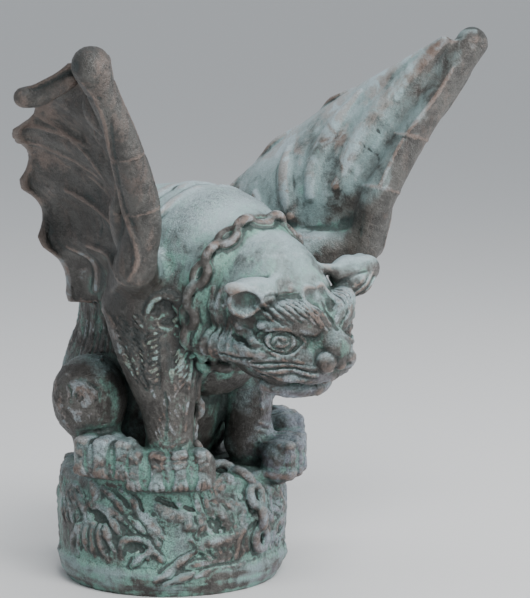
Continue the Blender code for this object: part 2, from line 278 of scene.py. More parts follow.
class Patch:
    """A part of the surface with coordinates of its own, where strokes are drawn with a tool."""

    def __init__(self, clay, put, inward, reach, waver=0.0):
        self.clay, self.put, self.inward = clay, put, inward
        self.reach, self.waver = reach, waver

    def place(self, stations, count):
        """A smooth run through local stations, dropped onto the clay."""
        path = through(stations, count or (6 if self.waver else 4) * (len(stations) - 1) + 1)
        if self.waver:
            for spot in path:
                here = Vector((*spot[:2], spot[2] if len(spot) > 3 else 0)) / WAVER_SIZE
                spot[0] += self.waver * noise.noise(here)
                spot[1] += self.waver * noise.noise(here + Vector((9, 4, 7)))
                spot[-1] *= 1 + 0.6 * noise.noise(2 * here + Vector((3, 1, 5)))
        spots = self.put(path[:, :-1])
        widths = np.maximum(path[:, -1:], 0.4)
        return self.clay.onto(np.hstack([spots, widths]), self.inward(spots), self.reach)

    def ridge(self, stations, height, soft=PLAIN, count=None):
        """A raised stroke with a crease at both sides, or below zero a groove."""
        self.clay.trace(self.place(stations, count), height, soft)

    def groove(self, stations, depth):
        """A hollow with hard edges."""
        self.ridge(stations, -depth, HARD)

    def swell(self, stations, height):
        """A broad rise without an edge."""
        self.ridge(stations, height, BROAD)

    def leaf(self, root, bend, tip, width, height):
        """A pointed lobe, raised in the middle, with a groove down it."""
        self.ridge([[*root, 0.55 * width], [*bend, width], [*tip, 0.12 * width]], height)
        self.groove([[*root, 0.9], [*bend, 1.3], [*tip, 0.6]], 0.45 * height)


def at_point(centre):
    """The way inward for a patch that faces one point."""
    return lambda spots: np.array(centre, float) - spots


def at_axis(x, y):
    """The way inward for a patch round a standing axis."""
    return lambda spots: np.stack([x - spots[:, 0], y - spots[:, 1], 0 * spots[:, 2]], axis=1)


def straight(direction):
    """The same way inward all over a patch."""
    return lambda spots: np.broadcast_to(np.array(direction, float), spots.shape)


# ---------------------------------------------------------------- forms
def drum(clay):
    """The round drum: a low rounded foot, nearly upright sides and a soft upper rim."""
    heights, radii = np.array(DRUM_PROFILE, float).T
    wide = max(radii) + 14
    cut, x, y, z = clay.block((-wide, -wide, -12), (wide, wide, DRUM_TOP + 16))
    side = np.sqrt(x ** 2 + y ** 2) - np.interp(z.ravel(), heights, radii)[None, None, :]
    clay.add(cut, -smooth_min(-side, DRUM_TOP - z, 9.0))


def drum_lines(clay):
    """Foliage in high relief round the drum, over a plain foot."""
    face = Patch(clay, lambda p: around(p, 0, 0, 145), at_axis(0, 0), 60, 2.4)
    foliage(Panel(face, 0, 1.0))
    scroll_panel(Panel(face, 0, 1.0))
    drapery(face)
    for turn, depth in ((88, 0.8), (150, 0.7), (205, 0.7), (262, 0.8)):
        foliage(Panel(face, turn, depth))
    for turn, depth in ((118, 0.7), (232, 0.7)):
        scroll_panel(Panel(face, turn, depth))
    for k in range(300):
        turn, z = (GOLDEN_TURN * k) % 360 - 180, 27 + (k * GOLDEN_SHARE % 1) * 82
        slant = 2.2 * math.sin(0.05 * turn + 0.07 * z) + 0.6 * math.sin(2.7 * k)
        run = 3 + 1.5 * math.sin(1.9 * k)
        face.ridge([(turn - run, z + 2.2 * slant, 1.6), (turn, z + 3.2 * math.sin(k), 3 + math.sin(3.1 * k)),
                    (turn + run, z - 2.2 * slant, 1.6)], 2.4 + 1.2 * math.sin(2.3 * k), ROUND)


class Panel:
    """A piece of the drum's relief, turned to its place and drawn at a share of its full depth."""

    def __init__(self, face, turn, depth):
        self.face, self.turn, self.depth = face, turn, depth

    def spots(self, stations, widen=1.0):
        return [(a + self.turn, z, *(widen * width for width in rest)) for a, z, *rest in stations]

    def ridge(self, stations, height):
        self.face.ridge(self.spots(stations, 1.55), 1.35 * height * self.depth, ROUND)

    def leaf(self, root, bend, tip, width, height=5.0):
        self.face.leaf(*self.spots((root, bend, tip)), 1.35 * width, 1.25 * height * self.depth)


def foliage(panel):
    """Lobes, curling strands and hanging leaves; degrees from the middle of the panel, and height."""
    ridge, leaf = panel.ridge, panel.leaf
    ridge([(-73, 104, 2.5), (-66, 96, 3.5), (-60, 87, 3.5), (-54, 86, 2.5)], 4.5)
    ridge([(-64, 104, 2.5), (-55, 89, 3.6), (-49, 73, 3.4), (-44, 53, 2)], 5)
    ridge([(-58, 100, 1.4), (-51, 84, 1.8), (-46, 66, 1.4)], -3)
    ridge([(-50, 84, 2.4), (-47, 74, 3.4), (-42, 60, 2.2)], 4.5)
    leaf((-59, 80), (-54, 72), (-49, 62), 4)
    ridge([(-42, 90, 5), (-37, 84, 7), (-30, 82, 5)], 4)
    ridge([(-44, 99, 2), (-36, 92, 2.4), (-28, 88, 2)], -3)
    for bend, tip in (((-96, 52), (-99, 34)), ((-91, 56), (-92, 30)), ((-86, 52), (-85, 36)),
                      ((-80, 50), (-79, 30)), ((-75, 54), (-70, 30)), ((-71, 60), (-63, 34))):
        leaf((-80 + 0.3 * (tip[0] + 80), 70), bend, tip, 4.2, 5.5)
    ridge([(-83, 82, 3), (-78, 76, 5), (-73, 73, 3)], -5)
    leaf((-72, 76), (-67, 68), (-62, 60), 3.6)
    leaf((-66, 78), (-60, 72), (-55, 64), 3)
    ridge([(-64, 42, 2.5), (-62, 55, 3.4), (-55, 60, 3.6), (-48, 52, 3), (-51, 40, 2)], 5)
    ridge([(-59, 48, 3), (-56, 50, 4), (-53, 46, 3)], -3)
    ridge([(-58, 31, 2), (-54, 42, 3.2), (-47, 47, 3.2), (-43, 38, 2)], 4)
    ridge([(-46, 18, 2), (-38, 27, 3.6), (-30, 42, 3), (-26, 50, 2)], 4)
    ridge([(-42, 14, 2), (-32, 22, 3), (-22, 32, 2)], 3)
    for k in range(5):
        ridge([(-116 + 5 * k, 106 - 3 * k, 2), (-112 + 6 * k, 84, 2.8), (-106 + 5 * k, 62 + 2 * k, 2)], 3.2)
    for k in range(3):
        swirl = [(-98 + (11 - 3 * k) * math.cos(t), 88 + (13 - 3.5 * k) * math.sin(t), 1.8)
                 for t in np.linspace(0.4 + k, 5.0 + k, 7)]
        ridge(swirl, 2.6)
    ridge([(-82, 108, 4), (-78, 100, 5), (-80, 92, 3)], 3.5)
    ridge([(-75, 114, 3), (-68, 112, 4.4), (-61, 114, 3)], 4)


def scroll_panel(panel):
    """A tasselled scroll with strands below it."""
    ridge = panel.ridge
    panel.leaf((3, 119), (-8, 116), (-19, 109), 6 / 1.35, 4.5 / 1.25)
    for k in range(7):
        ridge([(-19 + 2.3 * k, 106, 1.5), (-18.4 + 2.3 * k, 103, 1.3)], 4)
    ridge([(-20, 109, 1.4), (-12, 108, 1.6), (-4, 108, 1.4)], 3)
    ridge([(-5, 108, 1.8), (-4.5, 94, 2)], 4)
    ridge([(-17, 104, 1.6), (-13, 96, 2), (-8, 103, 1.6)], 3)
    ridge([(-22, 96, 2.2), (-19, 88, 2.8), (-13, 82, 3), (-9, 74, 3), (-10, 62, 2)], 6)
    ridge([(-7, 86, 1.6), (-4, 74, 2.2), (-7, 60, 1.6)], 4)
    ridge([(-20, 76, 5), (-16, 73, 7), (-13, 68, 4)], -4)
    ridge([(-21, 78, 3), (-17, 74, 4), (-15, 69, 3)], 2)
    ridge([(-29, 60, 2.2), (-23, 49, 3), (-18, 36, 2)], 4.5)
    ridge([(-24, 60, 1.8), (-19, 50, 2.4), (-14, 40, 1.8)], 4)
    ridge([(-34, 92, 3), (-30, 82, 4), (-31, 70, 3)], 4)
    ridge([(-27, 84, 2), (-24, 74, 2.8), (-25, 63, 2)], 4)
    ridge([(-33, 30, 2), (-22, 35, 3), (-11, 36, 2)], 4)
    ridge([(-26, 22, 2), (-14, 27, 2.6), (0, 29, 2)], 2.5)
    ridge([(-24, 55, 4), (-14, 54, 6), (-4, 53, 4)], 3.5)
    for k in range(4):
        ridge([(-14 + 4 * k, 47, 1.8), (-12 + 4 * k, 41, 2.4), (-13 + 4 * k, 36, 1.6)], 3)
    ridge([(-1, 96, 2), (0, 74, 2.6), (-2, 46, 2)], 3)


def drapery(face):
    """Long upright folds that frame the foliage."""
    for k in range(6):
        turn, bow = 21 + 7 * k, 2 * math.sin(1.9 * k)
        face.ridge([(turn - 1, 104, 2.4), (turn + 1 + bow, 74, 3.6), (turn, 36, 2.4)], 3.5 + bow * 0.4)


def torso(clay):
    """Belly, hunched back, shoulders and throat, and a low rise for the collar to lie on."""
    clay.lump((0, 20, 212), (76, 82, 106), soft=8)
    clay.lump((0, 4, 314), (79, 92, 78), soft=14)
    clay.lump((0, -66, 308), (84, 82, 86), soft=14)
    clay.lump((0, -74, 262), (60, 40, 70), soft=14)
    clay.lump((0, 60, 190), (82, 50, 84), soft=10)
    clay.lump((0, 30, 150), (88, 60, 58), soft=8)
    clay.limb([(0, -24, 326, 68), (0, 28, 302, 70), (0, 40, 250, 67), (0, 46, 190, 70)], soft=14)
    clay.limb([(-1, -66, 314, 77), (-3, -106, 308, 67), (-4, -128, 305, 60), (0, -150, 298, 50)], soft=12)
    ring = collar_ring(40, 0.86)
    clay.limb([(*place, 11) for place in ring[np.abs(np.linspace(-180, 180, 40)) < 138]], soft=8, count=60)


def legs(clay, side):
    """A straight foreleg with its shoulder blade, a folded hind leg, and their paws."""
    fore = bearing(FOREPAW_BEARING, FORELEG_REACH[side], side)
    clay.limb([(side * 62, -64, 302, 40), (1.04 * fore[0], fore[1], 258, 32), (*fore, 205, 26),
               (*fore, 160, 22.5), (*fore, 138, 23)], soft=10)
    clay.limb([(1.30 * fore[0], fore[1] + 24, 284, 33), (1.26 * fore[0], fore[1] + 17, 250, 29),
               (1.16 * fore[0], fore[1] + 10, 216, 25), (1.04 * fore[0], fore[1] + 3, 184, 20)], soft=8)
    hind = bearing(HINDPAW_BEARING + 18, 92, side)
    clay.lump((side * 50, 38, 186), (38, 50, 60), (14, 0, 0), soft=10)
    clay.lump((side * KNEE[0], KNEE[1], KNEE[2]), (36, 38, 42), soft=5)
    clay.limb([(side * 92, 4, 172, 25), (hind[0], hind[1] + 8, 142, 20)], soft=8)
    paw(clay, side, FOREPAW_BEARING, FOREPAW_REACH, 4, 9.7, DRUM_TOP + (14 if side < 0 else 9), (*fore, 138))
    paw(clay, side, HINDPAW_BEARING, HINDPAW_REACH, 3, 10.5, DRUM_TOP + 23, (*hind, 142))


def paw(clay, side, angle, reach, toes, gap, level, ankle):
    """A pad with square toes side by side on the drum's rim, cords between them and split claws."""
    pad = bearing(angle, reach - 28, side)
    clay.limb([(*ankle, 22), (*pad, level - 2, 19)], soft=7)
    spreads = [(toe - (toes - 1) / 2) * gap for toe in range(toes)]
    for rise in (-8, 3):
        clay.limb([(*bearing(angle + spread, reach - 13, side), level + rise, 15)
                   for spread in (spreads[0], 0, spreads[-1])], soft=4)
    half = 0.5 * math.radians(gap) * reach - 2.6
    for spread in spreads:
        middle = bearing(angle + spread, reach - 6, side)
        root = bearing(angle + 0.75 * spread, reach - 30, side)
        spin = turned((0, 0, side * (angle + spread)))
        knuckle = bearing(angle + spread, reach - 13, side)
        clay.limb([(*root, level + 6, half), (*knuckle, level + 11, half)], soft=3)
        clay.bar((*middle, level), (half, 11, 19), spin, 6, soft=2)
    rim = Patch(clay, lambda p: around(p, 0, 0, reach + 14, side), at_axis(0, 0), 30)
    for toe, spread in enumerate(spreads):
        middle = angle + spread
        if toe:
            cleft = middle - gap / 2
            rim.ridge([(cleft, level + 13, 2), (cleft + 0.3, level, 3), (cleft, level - 19, 2.4)], 4.4)
        for edge in (-0.30, 0.30):
            rim.groove([(middle + edge * gap, level + 13, 1.0), (middle + 0.9 * edge * gap, level, 1.2),
                        (middle + edge * gap, level - 13, 1.0)], 1.8)
        for k in range(4):
            z = level + 11 - 7 * k
            sway = 3.2 * math.sin(2.1 * k + 1.7 * toe)
            rim.ridge([(middle - 0.20 * gap, z + sway, 1.2), (middle, z + 1.5, 1.8),
                       (middle + 0.20 * gap, z - sway, 1.2)], 1.2 if (k + toe) % 2 else -1.3)
        for k in (-1, 0, 1):
            rim.ridge([(middle + 0.20 * k * gap, level - 11, 2.2), (middle + 0.26 * k * gap, level - 17, 2.6),
                       (middle + 0.3 * k * gap, level - 21, 1.2)], 2)


def around(points, x, y, reach, side=1):
    """Places at (degrees from the front towards one side, height) round a standing axis."""
    angle = np.radians(points[:, 0])
    return np.stack([x + side * reach * np.sin(angle), y - reach * np.cos(angle), points[:, 1]], axis=1)


def leg_lines(clay, side):
    """Shoulder arch with its curls, feather fringe, beaded column and wrinkles of a foreleg."""
    x, y = bearing(40, FORELEG_REACH[side], side)
    leg = Patch(clay, lambda p: around(p, x, y, 46, side), at_axis(x, y), 27, 1.2)
    leg.ridge([(72, 282, 2.4), (64, 291, 4.2), (55, 298, 4.8), (42, 300, 5), (29, 298, 4.6), (17, 293, 4),
               (11, 284, 3.4), (12, 272, 2.6)], 6.5)
    leg.ridge([(58, 284, 6), (44, 287, 9), (32, 284, 8), (40, 272, 6)], -4.5)
    leg.ridge([(31, 290, 1.8), (23, 288, 2.8), (17, 281, 2.6), (24, 276, 2.4), (31, 280, 1.6)], 4.6)
    leg.ridge([(22, 272, 1.6), (14, 268, 2.4), (16, 260, 2.2), (24, 263, 1.5)], 4)
    leg.ridge([(44, 262, 9), (34, 250, 12), (30, 232, 9)], -3)
    for k in range(9):
        z = 280 - 7 * k
        leg.ridge([(88 - 1.2 * k, z, 1.4), (81 - 1.2 * k, z - 7, 2.3), (73 - 0.6 * k, z - 17, 1.5)], 8)
        leg.ridge([(86 - 1.2 * k, z - 5, 1.1), (78 - 1.2 * k, z - 12, 1.5), (73 - 0.6 * k, z - 20, 1.1)], -4)
    for k in range(8):
        z = 276 - 7 * k
        leg.ridge([(106 - 2 * k, z + 2, 1.4), (98 - 1.7 * k, z - 6, 2.3), (89 - 1.3 * k, z - 16, 1.4)], 7)
        leg.ridge([(103 - 2 * k, z - 3, 1.1), (96 - 1.7 * k, z - 10, 1.4), (89 - 1.3 * k, z - 19, 1.1)], -3.6)
        leg.ridge([(124 - 2 * k, z + 10, 1.4), (117 - 2 * k, z + 2, 2.2), (109 - 2 * k, z - 9, 1.4)], 5)
        leg.ridge([(121 - 2 * k, z + 5, 1.1), (115 - 2 * k, z - 2, 1.4), (108 - 2 * k, z - 12, 1.1)], -3)
    for k in range(9):
        z = 262 - 5.7 * k
        leg.ridge([(70, z - 3, 1.9), (62, z, 2.6), (54, z + 2, 1.9)], 4.8)
    leg.ridge([(53, 270, 1.6), (51, 240, 2.0), (52, 210, 1.6)], -3.2)
    leg.groove([(75, 262, 1.2), (75, 240, 1.6), (75, 214, 1.2)], 2.4)
    for k in range(7):
        z = 252 - 6.5 * k
        leg.ridge([(3 - k, z + 5, 1.6), (12, z - 2, 2.4), (24, z - 12, 1.6)], 3)
    for k in range(4):
        leg.ridge([(46 - 5 * k, 262 - 9 * k, 1.4), (36 - 3 * k, 252 - 9 * k, 2),
                   (34 - 2 * k, 240 - 9 * k, 1.4)], 1.8)
    leg.ridge([(-8, 282, 2), (-10, 262, 3), (-9, 235, 3), (-8, 205, 3), (-6, 168, 2.4)], 3.6)
    leg.ridge([(-20, 270, 3), (-22, 240, 4), (-20, 210, 3)], -3)
    leg.groove([(42, 206, 1.6), (38, 190, 2), (40, 160, 1.6)], 2)
    for k in range(12):
        a, z = 66 - 6.5 * (k * 5 % 11), 204 - 3.6 * k
        leg.ridge([(a + 5, z + 5, 1.2), (a, z, 1.8), (a - 7, z - 6 - 2 * math.sin(3 * k), 1.2)], 1.5)
    for k in range(5):
        z = 158 - 4.6 * k
        leg.ridge([(66 - 4 * k, z + 3 * math.sin(2 * k), 1.8), (30 + 2 * k, z - 6, 3),
                   (-16, z + 2 * math.cos(3 * k), 1.8)], 2.4)


def knee_lines(clay, side):
    """The whorl on the knee and the wrinkles round it."""
    middle = (side * KNEE[0], KNEE[1], KNEE[2])
    knee = Patch(clay, lambda p: around(p, *middle[:2], 60, side), at_point(middle), 50)
    knee.ridge([(66, 222, 5), (44, 214, 9), (34, 202, 9), (42, 190, 6)], 3.5)
    for (a, za), (b, zb), (c, zc) in (((70, 228), (60, 214), (64, 196)), ((56, 230), (48, 214), (54, 192)),
                                      ((46, 228), (34, 216), (44, 196)), ((34, 220), (26, 206), (36, 190)),
                                      ((76, 220), (70, 206), (72, 190))):
        knee.ridge([(a, za, 1.6), (b, zb, 3), (c, zc, 1.6)], 3)
        knee.groove([(a - 5, za, 1.2), (b - 6, zb, 1.6), (c - 4, zc, 1.2)], 2.4)
    for k in range(9):
        bow = 4 * math.sin(2.2 * k)
        knee.ridge([(118 - 3 * k, 226 - 8 * k, 1.8), (98 - 2 * k + bow, 210 - 8 * k, 3.2),
                    (80, 196 - 8 * k, 1.8)], 2.8)
    knee.swell([(10, 226, 8), (0, 196, 12), (6, 164, 9)], -1.5)
    for k in range(6):
        knee.ridge([(72 - 8 * k, 182 - 2 * k, 1.6), (62 - 8 * k, 172, 2.6), (58 - 7 * k, 158, 1.6)], 1.8)


def flank_lines(clay, side):
    """Long hair down the flank, behind the shoulder and over the haunch, and the folds of the back."""
    flank = Patch(clay, lambda p: np.insert(p, 0, side * 140, axis=1), straight((-side, 0, 0)), 120)
    for k in range(18):
        y, bow = -18 + 5.6 * k, 4 * math.sin(1.7 * k)
        flank.ridge([(y, 296 - 2 * k, 1.6), (y + 2 + bow, 262, 2.4), (y + 1, 226 - k, 1.6)],
                    1.6 + 0.9 * (k % 3))
    for k in range(5):
        flank.leaf((-30 + 3 * k, 300 - 3 * k), (-26 + 2 * k, 276), (-24 + 2 * k, 246 + 5 * k), 5, 3.5)
    back = Patch(clay, lambda p: np.insert(p * (side, 1), 1, 170, axis=1), straight((0, -1, 0)), 130)
    back.swell([(1, 372, 6), (1, 290, 9), (1, 200, 9), (1, 136, 6)], 3.4)
    back.swell([(26, 262, 5), (60, 228, 8), (73, 176, 8), (60, 132, 5)], 4)
    back.ridge([(20, 248, 2), (52, 216, 3), (62, 172, 3), (50, 134, 2)], -2.4)
    for k in range(9):
        x = 9 + 7.5 * k
        back.ridge([(x, 322 - 4 * k, 1.6), (x + 3 * math.sin(2 * k), 286 - 3 * k, 2.6),
                    (x + 2, 246 - 2 * k, 1.6)], 2.2)
        back.ridge([(x - 3, 226 - 3 * k, 1.6), (x + 1 + 2 * math.sin(3 * k), 196, 2.4),
                    (x - 2, 158, 1.6)], 1.8)


def mane_lines(clay, side):
    """Locks that hang behind the ear and over the jaw, inside the collar."""
    locks = head_patch(clay, side, (0, 30, 0))
    for k in range(5):
        y = 8 + 9 * k
        locks.ridge([(60, y - 4, 34 - 3 * k, 2.4), (64, y + 3 * math.sin(2 * k), 8, 4),
                     (62, y + 2, -20 + 2 * k, 2.4)], 2.6 + 0.8 * (k % 2))
    for k in range(4):
        locks.ridge([(64, 2 + 9 * k, -8, 2), (62, 6 + 9 * k, -22, 3), (58, 4 + 10 * k, -34, 2)], 2.6)
    locks.ridge([(58, 0, 18, 3), (64, 8, 8, 5), (64, 10, -6, 3)], -4)


HEAD_SPIN = turned((0, 0, HEAD_TURN)) @ turned((0, HEAD_ROLL, 0))


def on_head(points):
    """From the head's own frame (x to its left, y backward, z up) to the beast's."""
    return points[..., :3] @ HEAD_SPIN.T + HEAD_CENTRE


class HeadForms:
    """Lumps and limbs given in the head's frame, for one side or the middle."""

    def __init__(self, clay, side=1):
        self.clay = clay
        self.side = side

    def lump(self, centre, radii, soft, turn=(0, 0, 0), cut_away=False):
        spin = HEAD_SPIN @ turned((turn[0], self.side * turn[1], self.side * turn[2]))
        self.clay.lump(on_head(np.array(centre) * (self.side, 1, 1)), radii, spin, soft, cut_away)

    def limb(self, stations, soft, cut_away=False):
        stations = np.array(stations, float) * (self.side, 1, 1, 1)
        self.clay.limb(np.hstack([on_head(stations), stations[:, 3:]]), soft, None, cut_away)


def head_patch(clay, side, centre=(0, 5, -10)):
    """Strokes at (x, y, z) on one side of the head, drawn towards its middle."""
    return Patch(clay, lambda p: on_head(p * (side, 1, 1)), at_point(on_head(np.array(centre))), 30, 1.6)


def head(clay):
    """Skull, brows, cheeks, muzzle, jaw and ears, and the strokes of the face."""
    middle = HeadForms(clay)
    middle.lump((-6, 5, 4), (54, 56, 71), 12)
    middle.lump((0, -30, -8), (50, 34, 34), 12)
    middle.lump((0, -42, -38), (29, 28, 24), 10)
    middle.limb([(0, -50, -4, 11), (0, -62, -15, 12), (0, -73, -26, 13)], 6)
    sides = [HeadForms(clay, side) for side in SIDES]
    for form in sides:
        form.lump((31, -26, -34), (23, 27, 28), 12)
        form.limb([(51, -22, 10, 7), (45, -39, 11, 9.5), (33, -53, 8, 10.5), (20, -61, 2, 10.5),
                   (10, -62, -5, 8)], 6)
        form.limb([(55, -30, -1, 4), (45, -45, -2, 6), (32, -57, -4, 7), (19, -63, -9, 6)], 3)
        form.limb([(55, -22, -26, 9), (42, -39, -32, 9), (27, -53, -35, 8.5)], 7)
        form.limb([(62, 46, -22, 12), (58, 16, -26, 12), (56, -8, -31, 10), (50, -26, -40, 9)], 8)
        form.lump((16, -54, -47), (16, 16, 13), 7)
    for form in sides:
        socket_and_eye(form)
        form.limb([(66, 54, -42, 6), (62, 30, -49, 8), (54, 4, -57, 9), (43, -14, -67, 9)], 4, cut_away=True)
    mouth(middle, sides)
    middle.lump((0, -76, -40), (6, 7, 9), 3)
    for form in sides:
        form.lump((13, -71, -39.5), (10, 10.5, 10.5), 0.6)
        form.lump((9, -80, -45), (3.5, 4, 3), 1.5, cut_away=True)
        ear(form)
    for side in SIDES:
        face_lines(head_patch(clay, side))
        eye_lines(clay, side)


def socket_and_eye(form):
    """The slanting socket, and the ball in it."""
    turn = (0, 0, 44)
    form.lump((51, -51, -17), (20, 9, 12.5), 2, turn, cut_away=True)
    form.lump((40, -40, -17), (18.5, 13, 13), 1.0, turn)


def mouth(middle, sides):
    """Lower jaw, upper lip and lower lip, and the line between the lips."""
    middle.lump((0, -14, -62), (31, 26, 15), 6)
    for form in sides:
        form.limb([(56, -20, -37, 5), (48, -36, -45, 6.5), (34, -47, -51, 7), (16, -55, -56, 6.5),
                   (0, -59, -57, 6.5)], 4)
        form.limb([(40, -16, -63, 6), (27, -30, -68, 7), (12, -39, -70, 7), (0, -43, -70, 7)], 3)
    for form in sides:
        form.limb([(62, 10, -33, 1.8), (58, -16, -41, 3), (49, -36, -53, 3.8), (34, -49, -60.5, 3.8),
                   (18, -58, -63.5, 3.6), (0, -62, -64, 3.6)], 1.0, cut_away=True)


def ear(form):
    """A short leaf of an ear, hooded: domed above, open behind and below."""
    form.lump((60, -32, 31), (21, 15, 14), 4, (0, -12, 8))
    form.lump((70, -25, 26), (18, 15, 18), 4)
    form.lump((82, -29, 37), (12.5, 9, 7), 3, (0, -10, 24))
    form.limb([(26, -30, 40, 4), (44, -34, 35, 6), (62, -34, 35, 6)], 5)
    if form.side > 0:
        form.lump((78, -40, 31), (17, 12, 14), 4)
        form.lump((64, -44, 22), (15, 10, 13), 5)
    else:
        form.lump((80, -36, 22), (16, 12, 13.5), 1.0, (0, -10, 24), cut_away=True)


def face_lines(patch):
    """Brow tufts, forehead knot, whisker folds, cheek leaves and lip lines of one side."""
    for k in range(7):
        share = k / 6
        x, y, z = 55 - 36 * share, -36 - 28 * share, 9 + 5 * math.sin(math.pi * share) - 8 * share
        patch.ridge([(x + 6, y + 4, z + 8, 1.3), (x, y - 2, z + 1, 2.1), (x - 10, y - 8, z - 11, 1.3)], 3.8)
        patch.ridge([(x + 3, y + 1, z + 7, 1.0), (x - 3, y - 4, z - 0.5, 1.4),
                     (x - 12, y - 9, z - 11, 1.0)], -2.6)
    for k in range(4):
        x, z = 26 + 6 * k, 22 + 2 * k
        patch.ridge([(x, -58, z, 1.2), (x - 7, -62, z - 8, 2.2), (x - 14, -64, z - 20, 1.4)], 3.6)
    patch.ridge([(3, -58, 33, 2.4), (14, -54, 32, 3.8), (21, -57, 20, 4), (13, -64, 7, 3.4),
                 (3, -64, -6, 2.4)], 1.8)
    patch.swell([(8, -60, 30, 6), (11, -60, 20, 9), (6, -64, 8, 6)], -2)
    patch.ridge([(0, -66, 20, 1.8), (0, -64, 6, 2.4), (0, -58, -10, 2.2)], -2)
    patch.ridge([(49, -36, 20, 2), (40, -46, 27, 2.6), (30, -52, 28, 2.6), (23, -56, 24, 2.4),
                 (19, -60, 14, 2)], -1.4)
    patch.swell([(41, -42, 25, 4), (38, -44, 33, 6), (37, -42, 41, 4)], 2.2)
    patch.swell([(31, -46, 28, 4), (29, -46, 37, 6), (28, -44, 44, 4)], 2.2)
    for fold in (((57, -20, -31, 1.2), (45, -46, -32, 2.6), (31, -60, -37, 1.5)),
                 ((58, -18, -36, 1.2), (45, -48, -38.5, 2.8), (23, -65, -43, 1.8)),
                 ((52, -36, -43, 1.4), (41, -52, -45.5, 2.8), (21, -64, -49, 1.8)),
                 ((57, -16, -44, 1.2), (47, -43, -52, 2.6), (24, -60, -56, 1.8))):
        patch.ridge(fold, 4.6)
        patch.ridge([(x, y, z - 3.4, 1.5) for x, y, z, _ in fold], -3)
    patch.leaf((55, -30, -20), (61, -14, -13), (64, 4, -6), 5, 3.4)
    patch.leaf((55, -32, -28), (60, -14, -25), (63, 2, -20), 5, 3.4)
    for k in range(6):
        y, z = 6 * k, k - 30
        patch.ridge([(58, y - 24, z - 3, 1.2), (60, y - 16, z + 1, 2), (61, y - 8, z - 2, 1.2)], 2)
    patch.ridge([(56, -30, -16, 2), (62, -12, -7, 3), (64, 6, 3, 2.4), (64, 12, 15, 1.6)], 3)
    patch.groove([(58, -26, -22, 1.6), (61, -12, -19, 2.4), (64, 4, -14, 1.6)], 4)
    patch.groove([(57, -20, -30, 1.6), (61, -6, -31, 2.4), (63, 12, -28, 1.6)], 4)
    for k in range(9):
        x = 4 + 4.4 * k
        patch.ridge([(x, -58 + 0.4 * k, -65, 1.3), (x + 0.5, -56 + 0.4 * k, -76, 1.5)], -3)


def eye_lines(clay, side):
    """Lids and the coiled iris, drawn square to the eye."""
    out = np.array([side * 0.70, -0.71, -0.02])
    out /= np.linalg.norm(out)
    inner = np.array([-side * 0.70, -0.69, -0.13])
    inner -= out * (inner @ out)
    inner /= np.linalg.norm(inner)
    up = np.array([0, 0, 1.0])
    up -= out * out[2] + inner * (up @ inner)
    up /= np.linalg.norm(up)
    centre = np.array([side * 45, -47, -17.0]) + 12 * out
    patch = Patch(clay, lambda p: on_head(centre + p[:, :1] * inner + p[:, 1:2] * up),
                  straight(-HEAD_SPIN @ out), 30)
    for lid in ([(-23, 0, 1.8), (-17, 8, 2.4), (-5, 13, 2.6), (8, 12, 2.6), (15, 7, 2.2), (22, 0, 1.6)],
                [(-23, 0, 1.8), (-15, -7, 2.2), (-3, -13, 2.4), (8, -13, 2.4), (16, -7, 2), (22, 0, 1.6)]):
        patch.ridge(lid, 2.6)
        patch.groove([(0.84 * a, 0.82 * b, 1.4) for a, b, _ in lid], 3)
    for first, last, wide, high, half, height in ((-200, 160, 12.5, 9.6, 1.8, 2.4),
                                                  (-150, 190, 9.4, 7, 1.5, -3.4)):
        turns = np.radians(np.linspace(first, last, 15))
        patch.ridge([(-1.5 + wide * math.cos(t), 0.5 + high * math.sin(t), half) for t in turns],
                    height, count=48)
    patch.ridge([(-7, -2, 1.6), (-4, 2, 2), (1, 0, 2.2), (5, 1.5, 2), (5, 4, 1.4)], -3)


def link(clay, centre, along, facing):
    """One oval link, its flat side to facing."""
    across = np.cross(along, facing)
    across /= np.linalg.norm(across)
    turn = np.linspace(0, 2 * math.pi, 17)[:, None]
    long, wide = 0.5 * LINK_LENGTH - LINK_WIRE, 0.5 * LINK_WIDTH - LINK_WIRE
    loop = centre + long * np.cos(turn) * along + wide * np.sin(turn) * across
    clay.tube(np.insert(loop, 3, LINK_WIRE, axis=1), 1.0, 3)


def chain_run(clay, path, middle):
    """Links along a path, every other one turned edge on; the flat ones face away from middle."""
    length = np.concatenate([[0], np.cumsum(np.linalg.norm(np.diff(path, axis=0), axis=1))])
    count = max(2, round(length[-1] / LINK_PITCH))
    for k in range(count):
        where = length[-1] * (k + 0.5) / count
        behind, here, ahead = (np.array([np.interp(place, length, run) for run in path.T])
                               for place in (where - 4, where, where + 4))
        along = (ahead - behind) / np.linalg.norm(ahead - behind)
        out = here - middle
        out = out - along * (out @ along)
        link(clay, here, along, np.cross(along, out) if k % 2 else out)


def collar_ring(count, share=1.0):
    """Places round the collar, from under the throat and back to it."""
    turn = np.linspace(-math.pi, math.pi, count)
    wide, high = COLLAR_RADII[0] * share * np.sin(turn), COLLAR_RADII[1] * share * np.cos(turn)
    return np.stack([wide, 0 * wide, high], axis=1) @ turned((COLLAR_TILT, 0, COLLAR_TURN)).T + COLLAR_CENTRE


def chain(clay):
    """The collar, and the loose end that falls between the forelegs and over the drum's face."""
    chain_run(clay, collar_ring(60), COLLAR_CENTRE)
    fall = through([(-40, -96, 236), (-36, -80, 180), (-34, -78, 126), (-20, -84, 119),
                    (0, -98, DRUM_TOP + 1), (13, -112, 103), (18, -115, 72), (22, -114, 40)], 60)
    chain_run(clay, fall, np.array([0, 0, 80.0]))


# -- wings, in a frame that leans outward: span up along the lean, aft, and out
def wing_place(span, aft, out, side):
    """From a wing's own frame, which leans outward, to the beast's."""
    x = WING_FOOT[0] + span * LEAN_SIN + out * LEAN_COS
    return side * x, aft, WING_FOOT[1] + span * LEAN_COS - out * LEAN_SIN


